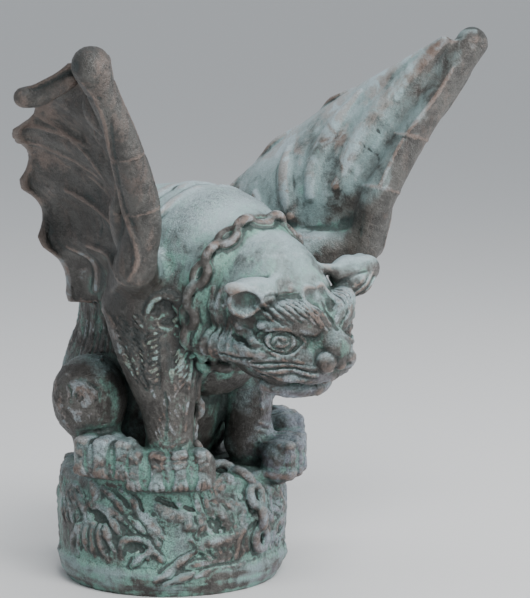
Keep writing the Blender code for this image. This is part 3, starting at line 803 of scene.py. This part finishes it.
def wing_frame(x, z):
    """Span and outward place on a wing, for x taken away from the middle."""
    across, up = x - WING_FOOT[0], z - WING_FOOT[1]
    return (across * LEAN_SIN + up * LEAN_COS,
            across * LEAN_COS - up * LEAN_SIN)


def finger_curl(span):
    """How far the trailing edge curls outward: long at each finger, short between them."""
    places, lengths = np.array(WING_FINGERS, float).T
    nearest = np.abs(places[:, None] - span[None, :]).argmin(axis=0)
    beyond = np.clip(nearest + np.where(span > places[nearest], 1, -1), 0, len(places) - 1)
    gap = np.where(beyond == nearest, 80.0, np.abs(places[beyond] - places[nearest]))
    share = np.clip((np.abs(span - places[nearest]) / gap - 0.09) / 0.41, 0, 1)
    return NOTCH_CURL + (lengths[nearest] - NOTCH_CURL) * (1 - share) ** 1.7


def rib_line(share, root, tip):
    """Where along the span a rib runs, at a share of the way from the arm to the edge."""
    return root + (tip - root) * share ** 0.8


def billow(span, share):
    """The skin's bulge inward between ribs, zero on each rib."""
    lift = 0
    lines = [rib_line(share, root, tip) for root, tip in WING_RIBS]
    for low, high in zip(lines, lines[1:]):
        part = (span - low) / np.maximum(high - low, 4)
        lift = lift + np.where((part > 0) & (part < 1), np.sin(math.pi * np.clip(part, 0, 1)) ** 1.5, 0)
    return lift * np.clip(share * 4, 0, 1)


def arm_line(side):
    """The stations of a wing's arm, from the shoulder to the tip."""
    return WING_ARM + [WING_TIP[side]]


def wing_middle(span, share, side):
    """Aft and outward place of the skin's middle, and half its thickness, from the arm to the edge."""
    arm, rear = (through(line, 61).T for line in (arm_line(side), WING_REAR))
    front = np.array(WING_FRONT, float).T
    fore_y, fore_n = (np.where(span < front[0, -1], np.interp(span, front[0], front[k]),
                               np.interp(span, arm[0], arm[k])) for k in (1, 2))
    rear_y, rear_n = (np.interp(span, rear[0], rear[k]) for k in (1, 2))
    aft = fore_y + (rear_y - fore_y) * share
    out = fore_n + (rear_n - fore_n) * share - WING_CUP * 4 * share * (1 - share)
    hollow = WING_BILLOW * billow(span, share)
    return aft, out - 0.5 * hollow, 0.5 * (WING_SKIN - hollow)


def wing(clay, side):
    """The skin as a profile that changes up the span, the thick arm along its front, horn and pockets."""
    wing_skin(clay, side)
    clay.limb(on_wing(arm_line(side), side), soft=6, count=40)
    clay.limb([(side * 80, -58, 312, 33), (side * 110, -94, 325, 20), *on_wing(WING_ARM[:1], side)], soft=10)
    inset = -24 if side > 0 else 0
    clay.limb(on_wing([(span, aft + inset, out, r) for span, aft, out, r in WING_HORN], side), soft=4)
    for pocket in WING_POCKETS:
        clay.limb(on_wing(pocket, side), soft=3)


def on_wing(stations, side):
    """Stations of (span, aft, out, radius) as (x, y, z, radius)."""
    return [(*wing_place(span, aft, out, side), radius) for span, aft, out, radius in stations]


def wing_skin(clay, side):
    """The skin, worked out as rows across the wing and blended between them."""
    first, last = WING_SPAN[side]
    box = (first, last), (-200, 60), (-70, 50)
    corners = [wing_place(*corner, side) for corner in itertools.product(*box)]
    cut, x, y, z = clay.block(np.min(corners, axis=0) - 6, np.max(corners, axis=0) + 6)
    span, out = wing_frame(side * x, z)
    rows = np.arange(first - 12, last + 12, ROW)
    profile = [wing_middle(rows, share, side) for share in np.linspace(0, 1, 15)]
    edge_y, edge_n, _ = profile[-1]
    for t in (0.35, 0.7, 1.0):
        profile.append((edge_y + 9 * math.sin(0.7 * math.pi * t),
                        edge_n + finger_curl(rows) * t * LEAN_COS,
                        np.full_like(rows, 0.5 * WING_SKIN - 1.2 * t)))
    # the curled edge rises as it runs outward, so that its fingers lie level
    behind = np.clip((y - np.interp(span, rows, edge_y) + 30) / 20, 0, 1)
    span = span - behind * math.tan(WING_LEAN) * np.maximum(0, out - np.interp(span, rows, edge_n))
    index = (span - rows[0]) / ROW
    i = np.clip(index.astype(int), 0, len(rows) - 2)
    f = np.clip(index - i, 0, 1).astype(np.float32)
    best, ends = np.inf, None
    for stop in profile:
        here = [run.astype(np.float32)[i] * (1 - f) + run.astype(np.float32)[i + 1] * f for run in stop]
        if ends:
            run_y, run_n = here[0] - ends[0], here[1] - ends[1]
            t = ((y - ends[0]) * run_y + (out - ends[1]) * run_n) / np.maximum(run_y ** 2 + run_n ** 2, 1e-3)
            t = np.clip(t, 0, 1)
            gap = np.sqrt((y - ends[0] - t * run_y) ** 2 + (out - ends[1] - t * run_n) ** 2)
            best = np.minimum(best, gap - (ends[2] + (here[2] - ends[2]) * t))
        ends = here
    clay.add(cut, np.maximum(best, -smooth_min(last - span, span - first, 4.0)), 5)


def wing_patch(clay, side, way):
    """Strokes at (span, aft) on a wing: way is -1 for its outer face and 1 for its inner one."""
    far = 70 if way < 0 else -130
    return Patch(clay, lambda p: np.stack(wing_place(p[:, 0], p[:, 1], far + 0 * p[:, 0], side), axis=1),
                 straight((way * side * LEAN_COS, 0, -way * LEAN_SIN)), 130)


def wing_lines(clay, side):
    """Ribs, rolls and creases of the hollow face, and the soft folds of the inner one."""
    face = wing_patch(clay, side, -1)
    face.ridge([(184, -42, 2.4), (171, -46, 3.2), (149, -56, 4), (126, -72, 4), (96, -84, 3.6),
                (72, -92, 3)], 3)
    face.ridge([(114, -20, 2), (98, -50, 3), (80, -72, 2.4)], 1.8)
    face.ridge([(205, -138, 2), (197, -128, 2.6), (184, -126, 2.8), (170, -132, 2.2)], 2)
    face.swell([(24, 28, 5), (10, 8, 7), (-8, 10, 7), (-26, 18, 5)], 4)
    for root, tip in WING_RIBS[1:5]:
        line = [(root + 0.25 * (tip - root), -84, 4), (root + 0.6 * (tip - root), -40, 6), (tip - 4, -4, 5)]
        face.swell(line, 3.4)
        face.ridge([(root + 0.3 * (tip - root), -80, 1.6), (root + 0.62 * (tip - root), -42, 2),
                    (tip - 2, -8, 1.6)], 1.6)
    for k in range(26):
        span, aft = 20 + 167 * (k * GOLDEN_SHARE % 1), -120 + 105 * (k * 0.381 % 1)
        if aft <= 10 - 0.6 * span:
            face.ridge([(span + 9, aft - 5, 1.2), (span + 2 * math.sin(k), aft, 1.7),
                        (span - 10, aft + 5, 1.2)], 1.4 * math.sin(2.3 * k) + (0.5 if k % 2 else -0.5))
    rim = [(240, -186, 1.6), (216, -185, 2.6), (194, -180, 3.2), (174, -171, 3.6), (155, -162, 3.8),
           (130, -151, 4), (104, -145, 4), (84, -148, 3.8), (66, -151, 3.6), (48, -148, 3), (34, -138, 2)]
    face.ridge(rim, 4.4)
    face.ridge([(span, aft - 6, 1.8) for span, aft, _ in rim[2:-3]], -1.2)
    face.ridge([(126, -136, 1.4), (106, -128, 2), (88, -120, 2.4), (66, -115, 2.6), (46, -118, 2.4),
                (30, -130, 2)], 2.6)
    face.ridge([(150, -128, 2.4), (122, -112, 3), (98, -98, 3), (72, -92, 2.4)], 2)
    face.ridge([(230, -148, 1.6), (222, -168, 2.2), (217, -188, 1.6)], -2.4)
    for span in (148, 91):
        ring_crease(clay, side, span)
    inner = wing_patch(clay, side, 1)
    inner.swell([(246, -176, 8), (205, -150, 14), (165, -128, 17), (125, -114, 15), (84, -108, 9)], 6.5)
    inner.swell([(182, -92, 7), (146, -80, 14), (108, -74, 15), (70, -80, 10)], 6)
    inner.swell([(116, -24, 6), (94, -36, 12), (66, -50, 13), (38, -64, 8)], 6)
    inner.swell([(62, -4, 6), (44, -22, 10), (22, -44, 9)], 3.4)
    inner.ridge([(148, -131, 1.2), (141, -142, 1.5)], -1.6)
    inner.ridge([(129, -119, 1.2), (123, -138, 1.5), (117, -146, 1.0)], -1.6)
    inner.ridge([(222, -188, 2.2), (190, -182, 2.6), (167, -176, 2.8), (148, -170, 2.2)], 2.5)
    inner.ridge([(140, -168, 2.2), (115, -164, 2.6), (92, -160, 2.2)], 2.5)


def ring_crease(clay, side, span):
    """A crease round the arm, across its length."""
    aft, out = (np.interp(span, *np.array(arm_line(side)).T[[0, k]]) for k in (1, 2))
    places = [(span + 3 * math.sin(turn), aft + 18 * math.cos(turn), out + 18 * math.sin(turn), 2.0)
              for turn in np.linspace(0, 2 * math.pi, 25)]
    ring, axis = np.array(on_wing(places, side)), np.array(wing_place(span, aft, out, side))
    clay.trace(clay.onto(ring, axis - ring[:, :3], 12), 1.8, PLAIN)


# ---------------------------------------------------------------- surface to mesh
def surface(clay):
    """The zero surface of the clay as points and quads: one point to each cell that it crosses."""
    field, inside = clay.field, clay.field < 0
    nx, ny, nz = field.shape
    corners = list(itertools.product((0, 1), repeat=3))
    mixed = np.zeros((nx - 1, ny - 1, nz - 1), bool)
    for a, b, c in corners:
        mixed |= inside[a:nx - 1 + a, b:ny - 1 + b, c:nz - 1 + c] != inside[:-1, :-1, :-1]
    cells = np.argwhere(mixed)
    number = np.full(mixed.shape, -1, np.int32)
    number[mixed] = np.arange(len(cells))
    total, crossings = np.zeros((len(cells), 3)), np.zeros(len(cells))
    quads = []
    for axis, (u, v) in enumerate(((1, 2), (2, 0), (0, 1))):
        step = np.eye(3, dtype=int)[axis]
        for start in (corner for corner in corners if not corner[axis]):
            a = cells + start
            at_a, at_b = field[tuple(a.T)], field[tuple((a + step).T)]
            cross = (at_a < 0) != (at_b < 0)
            t = np.where(cross, at_a / np.where(cross, at_a - at_b, 1), 0)
            total[cross] += (a + t[:, None] * step)[cross]
            crossings[cross] += 1
        ahead = inside[step[0]:, step[1]:, step[2]:]
        edges = np.argwhere(inside[:nx - step[0], :ny - step[1], :nz - step[2]] != ahead)
        for way in (u, v):
            edges = edges[(edges[:, way] > 0) & (edges[:, way] < field.shape[way] - 1)]
        ring = []
        for du, dv in ((1, 1), (0, 1), (0, 0), (1, 0)):
            near = edges.copy()
            near[:, u] -= du
            near[:, v] -= dv
            ring.append(number[tuple(near.T)])
        ring = np.stack(ring, axis=1)
        leaving = inside[tuple(edges.T)]
        ring[~leaving] = ring[~leaving][:, ::-1]
        quads.append(ring)
    spots = total / crossings[:, None]
    points = [np.interp(spots[:, k], np.arange(len(axis)), axis) for k, axis in enumerate(clay.axes)]
    return np.stack(points, axis=-1), np.concatenate(quads)


def sculpt():
    """The whole beast: its forms, then the strokes on them, then the chain, cut flat underneath."""
    low, high = (np.array(corner) / SCALE for corner in (CAD_LOW, CAD_HIGH))
    low, high = low - MARGIN, high + MARGIN
    clay = Clay(low, high, *FINE_ZONE, FINE_CELL, COARSE_CELL)
    drum(clay)
    torso(clay)
    for side in SIDES:
        legs(clay, side)
        wing(clay, side)
    head(clay)
    drum_lines(clay)
    for side in SIDES:
        leg_lines(clay, side)
        knee_lines(clay, side)
        flank_lines(clay, side)
        mane_lines(clay, side)
        wing_lines(clay, side)
    clay.settle()
    chain(clay)
    cut, _, _, z = clay.block(low - 9, (*high[:2], 6))
    clay.field[cut] = np.maximum(clay.field[cut], -z)
    return clay


# ---------------------------------------------------------------- mesh
def mesh_from(points, quads):
    """Points and quads as a mesh."""
    mesh = bpy.data.meshes.new("gargoyle_surface")
    mesh.vertices.add(len(points))
    mesh.vertices.foreach_set("co", points.astype(np.float32).ravel())
    mesh.loops.add(4 * len(quads))
    mesh.loops.foreach_set("vertex_index", quads.astype(np.int32).ravel())
    mesh.polygons.add(len(quads))
    mesh.polygons.foreach_set("loop_start", np.arange(0, 4 * len(quads), 4, dtype=np.int32))
    mesh.update(calc_edges=True)
    mesh.validate()
    return mesh


def thinned(mesh, triangles):
    """The same surface with fewer triangles, kept where it bends most."""
    carrier = bpy.data.objects.new("carrier", mesh)
    bpy.context.scene.collection.objects.link(carrier)
    thin = carrier.modifiers.new("thin", "DECIMATE")
    thin.ratio = triangles / (2 * len(mesh.polygons))
    bpy.context.view_layer.update()
    graph = bpy.context.evaluated_depsgraph_get()
    result = bpy.data.meshes.new_from_object(carrier.evaluated_get(graph))
    bpy.data.objects.remove(carrier, do_unlink=True)
    bpy.data.meshes.remove(mesh)
    return result


def read_points(collection, what):
    """A vector of every vertex as one array."""
    values = np.empty(3 * len(collection), np.float32)
    collection.foreach_get(what, values)
    return values.reshape(-1, 3).astype(float)


def plain_zone(points):
    """One on the wings, the back and the crown, which are smooth; zero where the surface is carved."""
    x, y, z = points.T
    wings = spread(np.abs(x), 96, 112) * spread(z, 292, 306)
    crown = spread(z, 296, 318) * (1 - spread(y, -120, -90))
    return np.maximum.reduce([wings, spread(y, -96, -60) * spread(z, 250, 300), crown])


def roughened(points, normals):
    """Small unevenness of a hand-worked mould: soft swells everywhere, crinkles where it is carved."""
    plain = plain_zone(points)
    rise = np.empty(len(points))
    for i, point in enumerate(points):
        place, crinkle = Vector(point), 0
        if plain[i] < 0.99:
            crinkle = 1.3 * (0.55 - abs(noise.noise(place / 6.5)) - 0.6 * abs(noise.noise(place / 3.4)))
        worn = min(1, max(0, (point[2] - 18) / 14)) * 0.8 + 0.2
        rise[i] = (0.5 * noise.noise(place / 16) + 0.25 * noise.noise(place / 5)
                   + (1 - plain[i]) * crinkle * worn)
    return points + rise[:, None] * normals


def softened(field, reach):
    """Each grid value averaged over the cells within reach along every axis."""
    values = np.clip(field, -9, 9)
    for axis in range(3):
        total = np.cumsum(values, axis=axis, dtype=np.float32)
        size = values.shape[axis]
        upper = np.minimum(np.arange(size) + reach, size - 1)
        lower = np.maximum(np.arange(size) - reach - 1, 0)
        values = (np.take(total, upper, axis) - np.take(total, lower, axis)) / (2 * reach + 1)
    return values


def spread(values, low, high):
    """Zero below low, one above high, and smooth between."""
    t = np.clip((values - low) / (high - low), 0, 1)
    return t * t * (3 - 2 * t)


def between(values, low, high, low_end, high_end):
    """One from high to low_end, and smoothly down to zero at low and at high_end."""
    return spread(values, low, high) * (1 - spread(values, low_end, high_end))


def mark_surface(mesh, clay, points, normals):
    """What the finish reads from the form: hollows and ridges, which take painted shade and painted
    highlights as well as patina, and the parts with a tone of their own or with painted shade.
    """
    x, y, z = points.T
    own, field = clay.sample(points), clay.field
    marks = {}
    for name, reach, span in (("fine", 2, 1.6), ("broad", 7, 5.0)):
        clay.field = softened(field, reach)
        marks[name] = 0.5 + (clay.sample(points) - own) / span
    clay.field = field
    # how closed in the surface is round each point, which sets the painted shade in deep places
    marks["deep"] = (12 - clay.sample(points + 12 * normals)) / 9
    marks["carved"] = 1 - plain_zone(points)
    marks["wing_shade"] = wing_marks(points, normals)
    marks["base"] = 1 - spread(z, DRUM_TOP - 2, DRUM_TOP + 10)
    marks["paw"] = between(z, 98, 112, 142, 154) * spread(np.hypot(x, y), 96, 108)
    marks["foot"] = 1 - spread(z, 20, 32)
    near, far = (np.hypot(x - shin[0], y - shin[1]) for shin in (NEAR_SHIN, FAR_SHIN))
    marks["leg"] = between(z, 135, 150, 298, 316) * (1 - spread(np.minimum(near, far + 26), 40, 56))
    marks["fringe"] = marks["leg"] * spread(z, 208, 224)
    knee = 1 - spread(np.sqrt((np.abs(x) - KNEE[0]) ** 2 + (y - KNEE[1]) ** 2 + (z - KNEE[2]) ** 2), 40, 54)
    flank = between(z, 215, 235, 290, 306) * spread(y, -34, -18) * spread(np.abs(x), 56, 68)
    marks["knee"] = np.maximum(knee, 0.8 * flank)
    near = np.min([np.linalg.norm(points - place, axis=1) for place in collar_ring(60)], axis=0)
    marks["chain"] = 1 - spread(near, 12, 17)
    marks["cold"] = spread(0.77 * x - 0.64 * y, 60, 120) * (1 - spread(z, 190, 260))
    for name, values in marks.items():
        layer = mesh.attributes.new(name, "FLOAT", "POINT")
        layer.data.foreach_set("value", np.clip(values, 0, 1).astype(np.float32))


def wing_marks(points, normals):
    """Where the wings get painted shade, with a warm stain in it: the hollow face turned down, the arm, and
    the near wing's curled edge.
    """
    x, y, z = points.T
    span, out = wing_frame(np.abs(x), z)
    outward = np.sign(x) * normals[:, 0] * LEAN_COS - normals[:, 2] * LEAN_SIN
    here = spread(out, -62, -52) * spread(span, -44, -30) * spread(np.abs(x), 96, 112)
    arm_span, arm_aft = np.array(arm_line(1)).T[:2]
    arm = 1 - spread(y - np.interp(span, arm_span, arm_aft), 14, 26)
    rear_span, rear_aft = np.array(WING_REAR, float).T[:2]
    edge = spread(y - np.interp(span, rear_span, rear_aft), -30, -16)
    # painted shade: much stronger on the near wing's arm and curled edge than on the far wing
    shaded = np.maximum(spread(outward, -0.62, -0.25), np.where(x < 0, 1.15, 0.3) * arm)
    return here * np.maximum(shaded, np.where(x < 0, 0.85, 0.0) * edge)


# ---------------------------------------------------------------- finish
class Wire:
    """A node socket that takes part in sums."""

    def __init__(self, shade, socket):
        self.shade, self.socket = shade, socket

    def sum(self, operation, other, turned_round=False, clamp=False):
        first, second = (other, self) if turned_round else (self, other)
        return self.shade.node("ShaderNodeMath", {"operation": operation, "use_clamp": clamp},
                               {0: first, 1: second})

    def __add__(self, other):
        return self.sum("ADD", other)

    def __sub__(self, other):
        return self.sum("SUBTRACT", other)

    def __mul__(self, other):
        return self.sum("MULTIPLY", other)

    def __rsub__(self, other):
        return self.sum("SUBTRACT", other, True)

    __radd__ = __add__
    __rmul__ = __mul__

    def clamped(self):
        return self.sum("ADD", 0.0, clamp=True)


class Shade:
    """One material's node tree."""

    def __init__(self, name):
        self.material = bpy.data.materials.new(name)
        self.material.use_nodes = True
        self.tree = self.material.node_tree
        self.tree.nodes.clear()

    def node(self, kind, settings=None, inputs=None, output=0):
        node = self.tree.nodes.new(kind)
        for key, value in (settings or {}).items():
            setattr(node, key, value)
        for key, value in (inputs or {}).items():
            if isinstance(value, Wire):
                self.tree.links.new(value.socket, node.inputs[key])
            else:
                node.inputs[key].default_value = value
        return None if output is None else Wire(self, node.outputs[output])

    def mark(self, name):
        settings = {"attribute_type": "GEOMETRY", "attribute_name": name}
        return self.node("ShaderNodeAttribute", settings, output=2)

    def step(self, value, low, high):
        """Zero below low, one above high."""
        settings = {"interpolation_type": "SMOOTHSTEP", "clamp": True}
        return self.node("ShaderNodeMapRange", settings, {0: value, 1: low, 2: high, 3: 0.0, 4: 1.0})

    def mix(self, share, first, second):
        """Colour first where share is zero, second where it is one."""
        settings = {"data_type": "RGBA", "clamp_factor": True}
        return self.node("ShaderNodeMix", settings, {0: share, 6: first, 7: second}, output=2)

    def cloud(self, place, size, detail=3.0, rough=0.55, stretch=(1, 1, 1), warp=0.0):
        """Noise about zero, with features about size metres wide."""
        place = self.node("ShaderNodeMapping", {"vector_type": "POINT"},
                          {0: place, 3: tuple(s / size for s in stretch)})
        return self.node("ShaderNodeTexNoise", {"noise_dimensions": "3D"},
                         {"Vector": place, "Scale": 1.0, "Detail": detail, "Roughness": rough,
                          "Distortion": warp}) - 0.5


def colour(*chart):
    """A colour picked on a 0 to 255 chart, as light."""
    shares = [level / 255 for level in chart]
    return (*(c / 12.92 if c <= 0.04045 else ((c + 0.055) / 1.055) ** 2.4 for c in shares), 1.0)


BRONZE_BROWN = colour(88, 86, 82)
DARK_BROWN = colour(50, 47, 44)
GREY_WASH = colour(122, 144, 144)
VERDIGRIS = colour(110, 158, 144)
PALE_VERDIGRIS = colour(168, 196, 184)
DUST = colour(176, 192, 200)
COPPER = colour(150, 126, 114)
SOOT_AND_SHADE = colour(42, 50, 49)
VIOLET_GREY = colour(118, 120, 142)
SHADE_AND_STAIN_DARK = colour(28, 34, 33)
SHADE_AND_STAIN_BROWN = colour(34, 32, 30)


def patina():
    """Bronze-coloured cast stone: brown ground, verdigris in the hollows, grey dust above, rubbed edges with
    a painted highlight, and painted shade on the wings, in creases and in deep places.
    """
    coat = Shade("patinated_stone")
    step, mix = coat.step, coat.mix
    place = coat.node("ShaderNodeTexCoord", output=3)
    facing = coat.node("ShaderNodeNewGeometry", output=1)
    up = coat.node("ShaderNodeSeparateXYZ", inputs={0: facing}, output=2)
    fine, wide = coat.mark("fine") - 0.5, coat.mark("broad") - 0.5
    deep, wing_shade, base, leg, cold, carved, foot, chain, knee, fringe, paw = (coat.mark(name) for name in (
        "deep", "wing_shade", "base", "leg", "cold", "carved", "foot", "chain", "knee", "fringe", "paw"))
    brush = coat.cloud(place, 0.018, 3, 0.6, (0.3, 0.3, 2.2))
    broad = coat.cloud(place, 0.060, 3, 0.55)
    patch = coat.cloud(place, 0.022, 4, 0.6, warp=0.6)
    fleck = coat.cloud(place, 0.0055, 4, 0.7)
    grain = coat.cloud(place, 0.0018, 2, 0.7)
    streak = coat.cloud(place, 0.012, 4, 0.62, (1, 1, 0.13))
    # ground and wash
    ground = mix(step(patch + 0.6 * fleck, -0.16, 0.16), DARK_BROWN, BRONZE_BROWN)
    wash = broad + 0.6 * patch + 0.34 * up + 0.3 * fleck - 0.5 * wing_shade - 0.26 * leg - 0.3 * knee
    wash = wash - 0.25 * chain + (0.12 + 0.9 * brush) * foot
    body = mix(step(wash, -0.10, 0.28), ground, GREY_WASH)
    # verdigris, in the hollows and where water ran
    green = 1.1 * streak + 0.9 * patch + 0.5 * fleck - 0.9 * wide - 0.35 * fine
    green = green + 0.2 * base - 0.7 * wing_shade + (1.9 * fine + 0.6 * wide) * fringe + 0.10 * up
    green = green + 0.2 * chain + 0.9 * brush * foot + 0.05 * knee - (0.9 * wide + 0.5 * fine) * paw
    body = mix(0.85 * step(green, 0.0, 0.42), body, VERDIGRIS)
    pale = 0.7 * fleck + 0.6 * streak + 0.22 * up - 0.4 * wide + 0.12 * base - 1.0 * wing_shade
    body = mix(0.75 * step(pale - 0.2 * knee - 0.2 * leg, 0.18, 0.50), body, PALE_VERDIGRIS)
    # dust from above, and edges rubbed bright, partly a painted highlight on the ridges
    dust = up + 1.3 * broad + 0.7 * fleck + 0.5 * fine - 0.5 * base - 0.8 * wing_shade - 0.55 * leg
    body = mix(0.6 * step(dust - 0.7 * knee - 0.5 * chain, 0.4, 1.1), body, DUST)
    rub_and_highlight = 1.3 * fine + 0.6 * wide + 0.8 * fleck + 0.5 * patch - 0.3 * wing_shade - 0.3 * chain
    rub_and_highlight = step(rub_and_highlight - 0.3 * foot + 0.1 * fringe - 0.25 * knee, 0.26, 0.62)
    body = mix(0.42 * rub_and_highlight, body, mix(step(patch, -0.05, 0.12) * (1.0 - wing_shade), COPPER, DUST))
    body = mix(0.22 * wing_shade * step(streak + 0.5 * fleck, 0.0, 0.16), body, COPPER)
    body = mix(0.5 * cold * step(patch, -0.1, 0.1), body, VIOLET_GREY)
    # painted shade on the wings, mottled by a stain and darker on faces turned up; painted shade with soot in
    # creases and deep places
    stain = step(0.9 * patch + 1.1 * fleck + 0.8 * streak - 0.9 * fine - 0.5 * wide, -0.16, 0.2)
    body = mix((0.38 + 0.58 * stain + 0.3 * up) * wing_shade, body, mix(step(streak, -0.1, 0.1), SHADE_AND_STAIN_DARK, SHADE_AND_STAIN_BROWN))
    # painted shade with soot, darkest in creases and closed-in places
    crease = step(0.3 * fleck - 1.1 * fine - 0.35 * wide, 0.08, 0.30)
    body = mix(0.9 * crease * (1.0 - 0.7 * paw), body, SOOT_AND_SHADE)
    body = mix(0.42 * step(deep + 0.5 * patch, 0.45, 1.1) * (1.0 - 0.8 * paw), body, SOOT_AND_SHADE)
    # pits and fine cracks
    bare = 1.0 - 0.7 * foot
    speck = 0.6 * step(grain + 0.6 * fleck, 0.02, 0.20) * (0.35 + 0.65 * carved) * bare
    body = mix(speck, body, DARK_BROWN)
    crackle = coat.cloud(place, 0.0034, 2, 0.6, warp=1.2).sum("ABSOLUTE", 0.0)
    cracks = 0.7 * (1.0 - step(crackle, 0.0, 0.05)) * (0.2 + 0.8 * carved + 0.5 * wing_shade) * bare
    body = mix(cracks, body, DARK_BROWN)
    rough = 0.34 + 0.30 * fleck + 0.06 * wing_shade
    relief = 0.6 * fleck + 0.4 * grain + 0.3 * patch
    relief = relief + 2.0 * crackle.sum("MINIMUM", 0.15) * (carved + 0.6 * wing_shade)
    bump = coat.node("ShaderNodeBump", None, {"Strength": 0.8, "Distance": 0.0020, "Height": relief})
    shader = coat.node("ShaderNodeBsdfPrincipled", None,
                       {"Base Color": body, "Roughness": rough.clamped(), "Normal": bump})
    coat.node("ShaderNodeOutputMaterial", None, {0: shader}, output=None)
    return coat.material


# ---------------------------------------------------------------- the piece
def gargoyle_piece():
    """The one cast piece, in place of its node."""
    clay = sculpt()
    points, quads = surface(clay)
    dense = mesh_from(points, quads)
    points = read_points(dense.vertices, "co")
    flat = points[:, 2] < UNDERSIDE
    points = roughened(points, read_points(dense.vertex_normals, "vector"))
    points[flat, 2] = 0
    dense.vertices.foreach_set("co", points.astype(np.float32).ravel())
    mesh = thinned(dense, TRIANGLES)
    points = read_points(mesh.vertices, "co")
    points[points[:, 2] < UNDERSIDE_THINNED, 2] = 0
    mark_surface(mesh, clay, points, read_points(mesh.vertex_normals, "vector"))
    mesh.vertices.foreach_set("co", (points * SCALE).astype(np.float32).ravel())
    mesh.update()
    mesh.shade_smooth()
    mesh.name = "gargoyle_surface"
    piece = bpy.data.objects.new("gargoyle_surface", mesh)
    bpy.context.scene.collection.objects.link(piece)
    mesh.materials.clear()
    mesh.materials.append(patina())
    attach(piece, "root")
    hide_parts("gargoyle")
    return piece


# ---------------------------------------------------------------- stage, light and camera
def matt(name, tone):
    """A plain material without a shine."""
    coat = Shade(name)
    shader = coat.node("ShaderNodeBsdfPrincipled", None, {"Base Color": (*tone, 1), "Roughness": 0.9})
    coat.node("ShaderNodeOutputMaterial", None, {0: shader}, output=None)
    return coat.material


def floor():
    """The ground that the work stands on, out to the horizon."""
    mesh = bpy.data.meshes.new("floor")
    corners = [(x * FLOOR_REACH, y * FLOOR_REACH, 0) for x, y in ((-1, -1), (1, -1), (1, 1), (-1, 1))]
    mesh.from_pydata(corners, [], [(0, 1, 2, 3)])
    mesh.materials.append(matt("pale_floor", (0.72, 0.72, 0.72)))
    plane = bpy.data.objects.new("floor", mesh)
    bpy.context.scene.collection.objects.link(plane)


def soft_light(name, place, size, power, aim=(0, -0.05, 0.3)):
    """A square lamp turned to a point of the work."""
    light = bpy.data.lights.new(name, "AREA")
    light.energy = power
    light.size = size
    lamp = bpy.data.objects.new(name, light)
    lamp.location = place
    lamp.rotation_euler = (Vector(aim) - Vector(place)).to_track_quat("-Z", "Y").to_euler()
    bpy.context.scene.collection.objects.link(lamp)


def lights():
    """A bright key from the front and above, three weaker lamps, and a pale sky."""
    soft_light("key", (-0.7, -1.75, 2.5), 1.1, 64)
    soft_light("overhead", (0.4, 0.3, 2.6), 1.4, 14)
    soft_light("front", (-0.1, -2.6, 0.8), 1.2, 34, (0, 0, 0.12))
    soft_light("side", (2.0, -1.2, 0.8), 1.2, 30, (0.1, -0.1, 0.15))
    world = bpy.data.worlds.new("studio")
    world.use_nodes = True
    back = world.node_tree.nodes["Background"]
    back.inputs["Color"].default_value = (0.88, 0.93, 0.98, 1)
    back.inputs["Strength"].default_value = 0.62
    bpy.context.scene.world = world


def camera():
    """A long lens, a little above the work and out to its front right."""
    azimuth, elevation = math.radians(VIEW_AZIMUTH), math.radians(VIEW_ELEVATION)
    away = Vector((math.sin(azimuth) * math.cos(elevation), -math.cos(azimuth) * math.cos(elevation),
                   math.sin(elevation)))
    data = bpy.data.cameras.new("view")
    data.sensor_width = SENSOR
    data.lens = SENSOR * VIEW_DISTANCE / VIEW_HEIGHT
    data.clip_end = 400
    eye = bpy.data.objects.new("view", data)
    eye.location = Vector(VIEW_AIM) + away * VIEW_DISTANCE
    eye.rotation_euler = away.to_track_quat("Z", "Y").to_euler()
    bpy.context.scene.collection.objects.link(eye)
    bpy.context.scene.camera = eye


def main():
    gargoyle_piece()
    floor()
    lights()
    camera()


main()
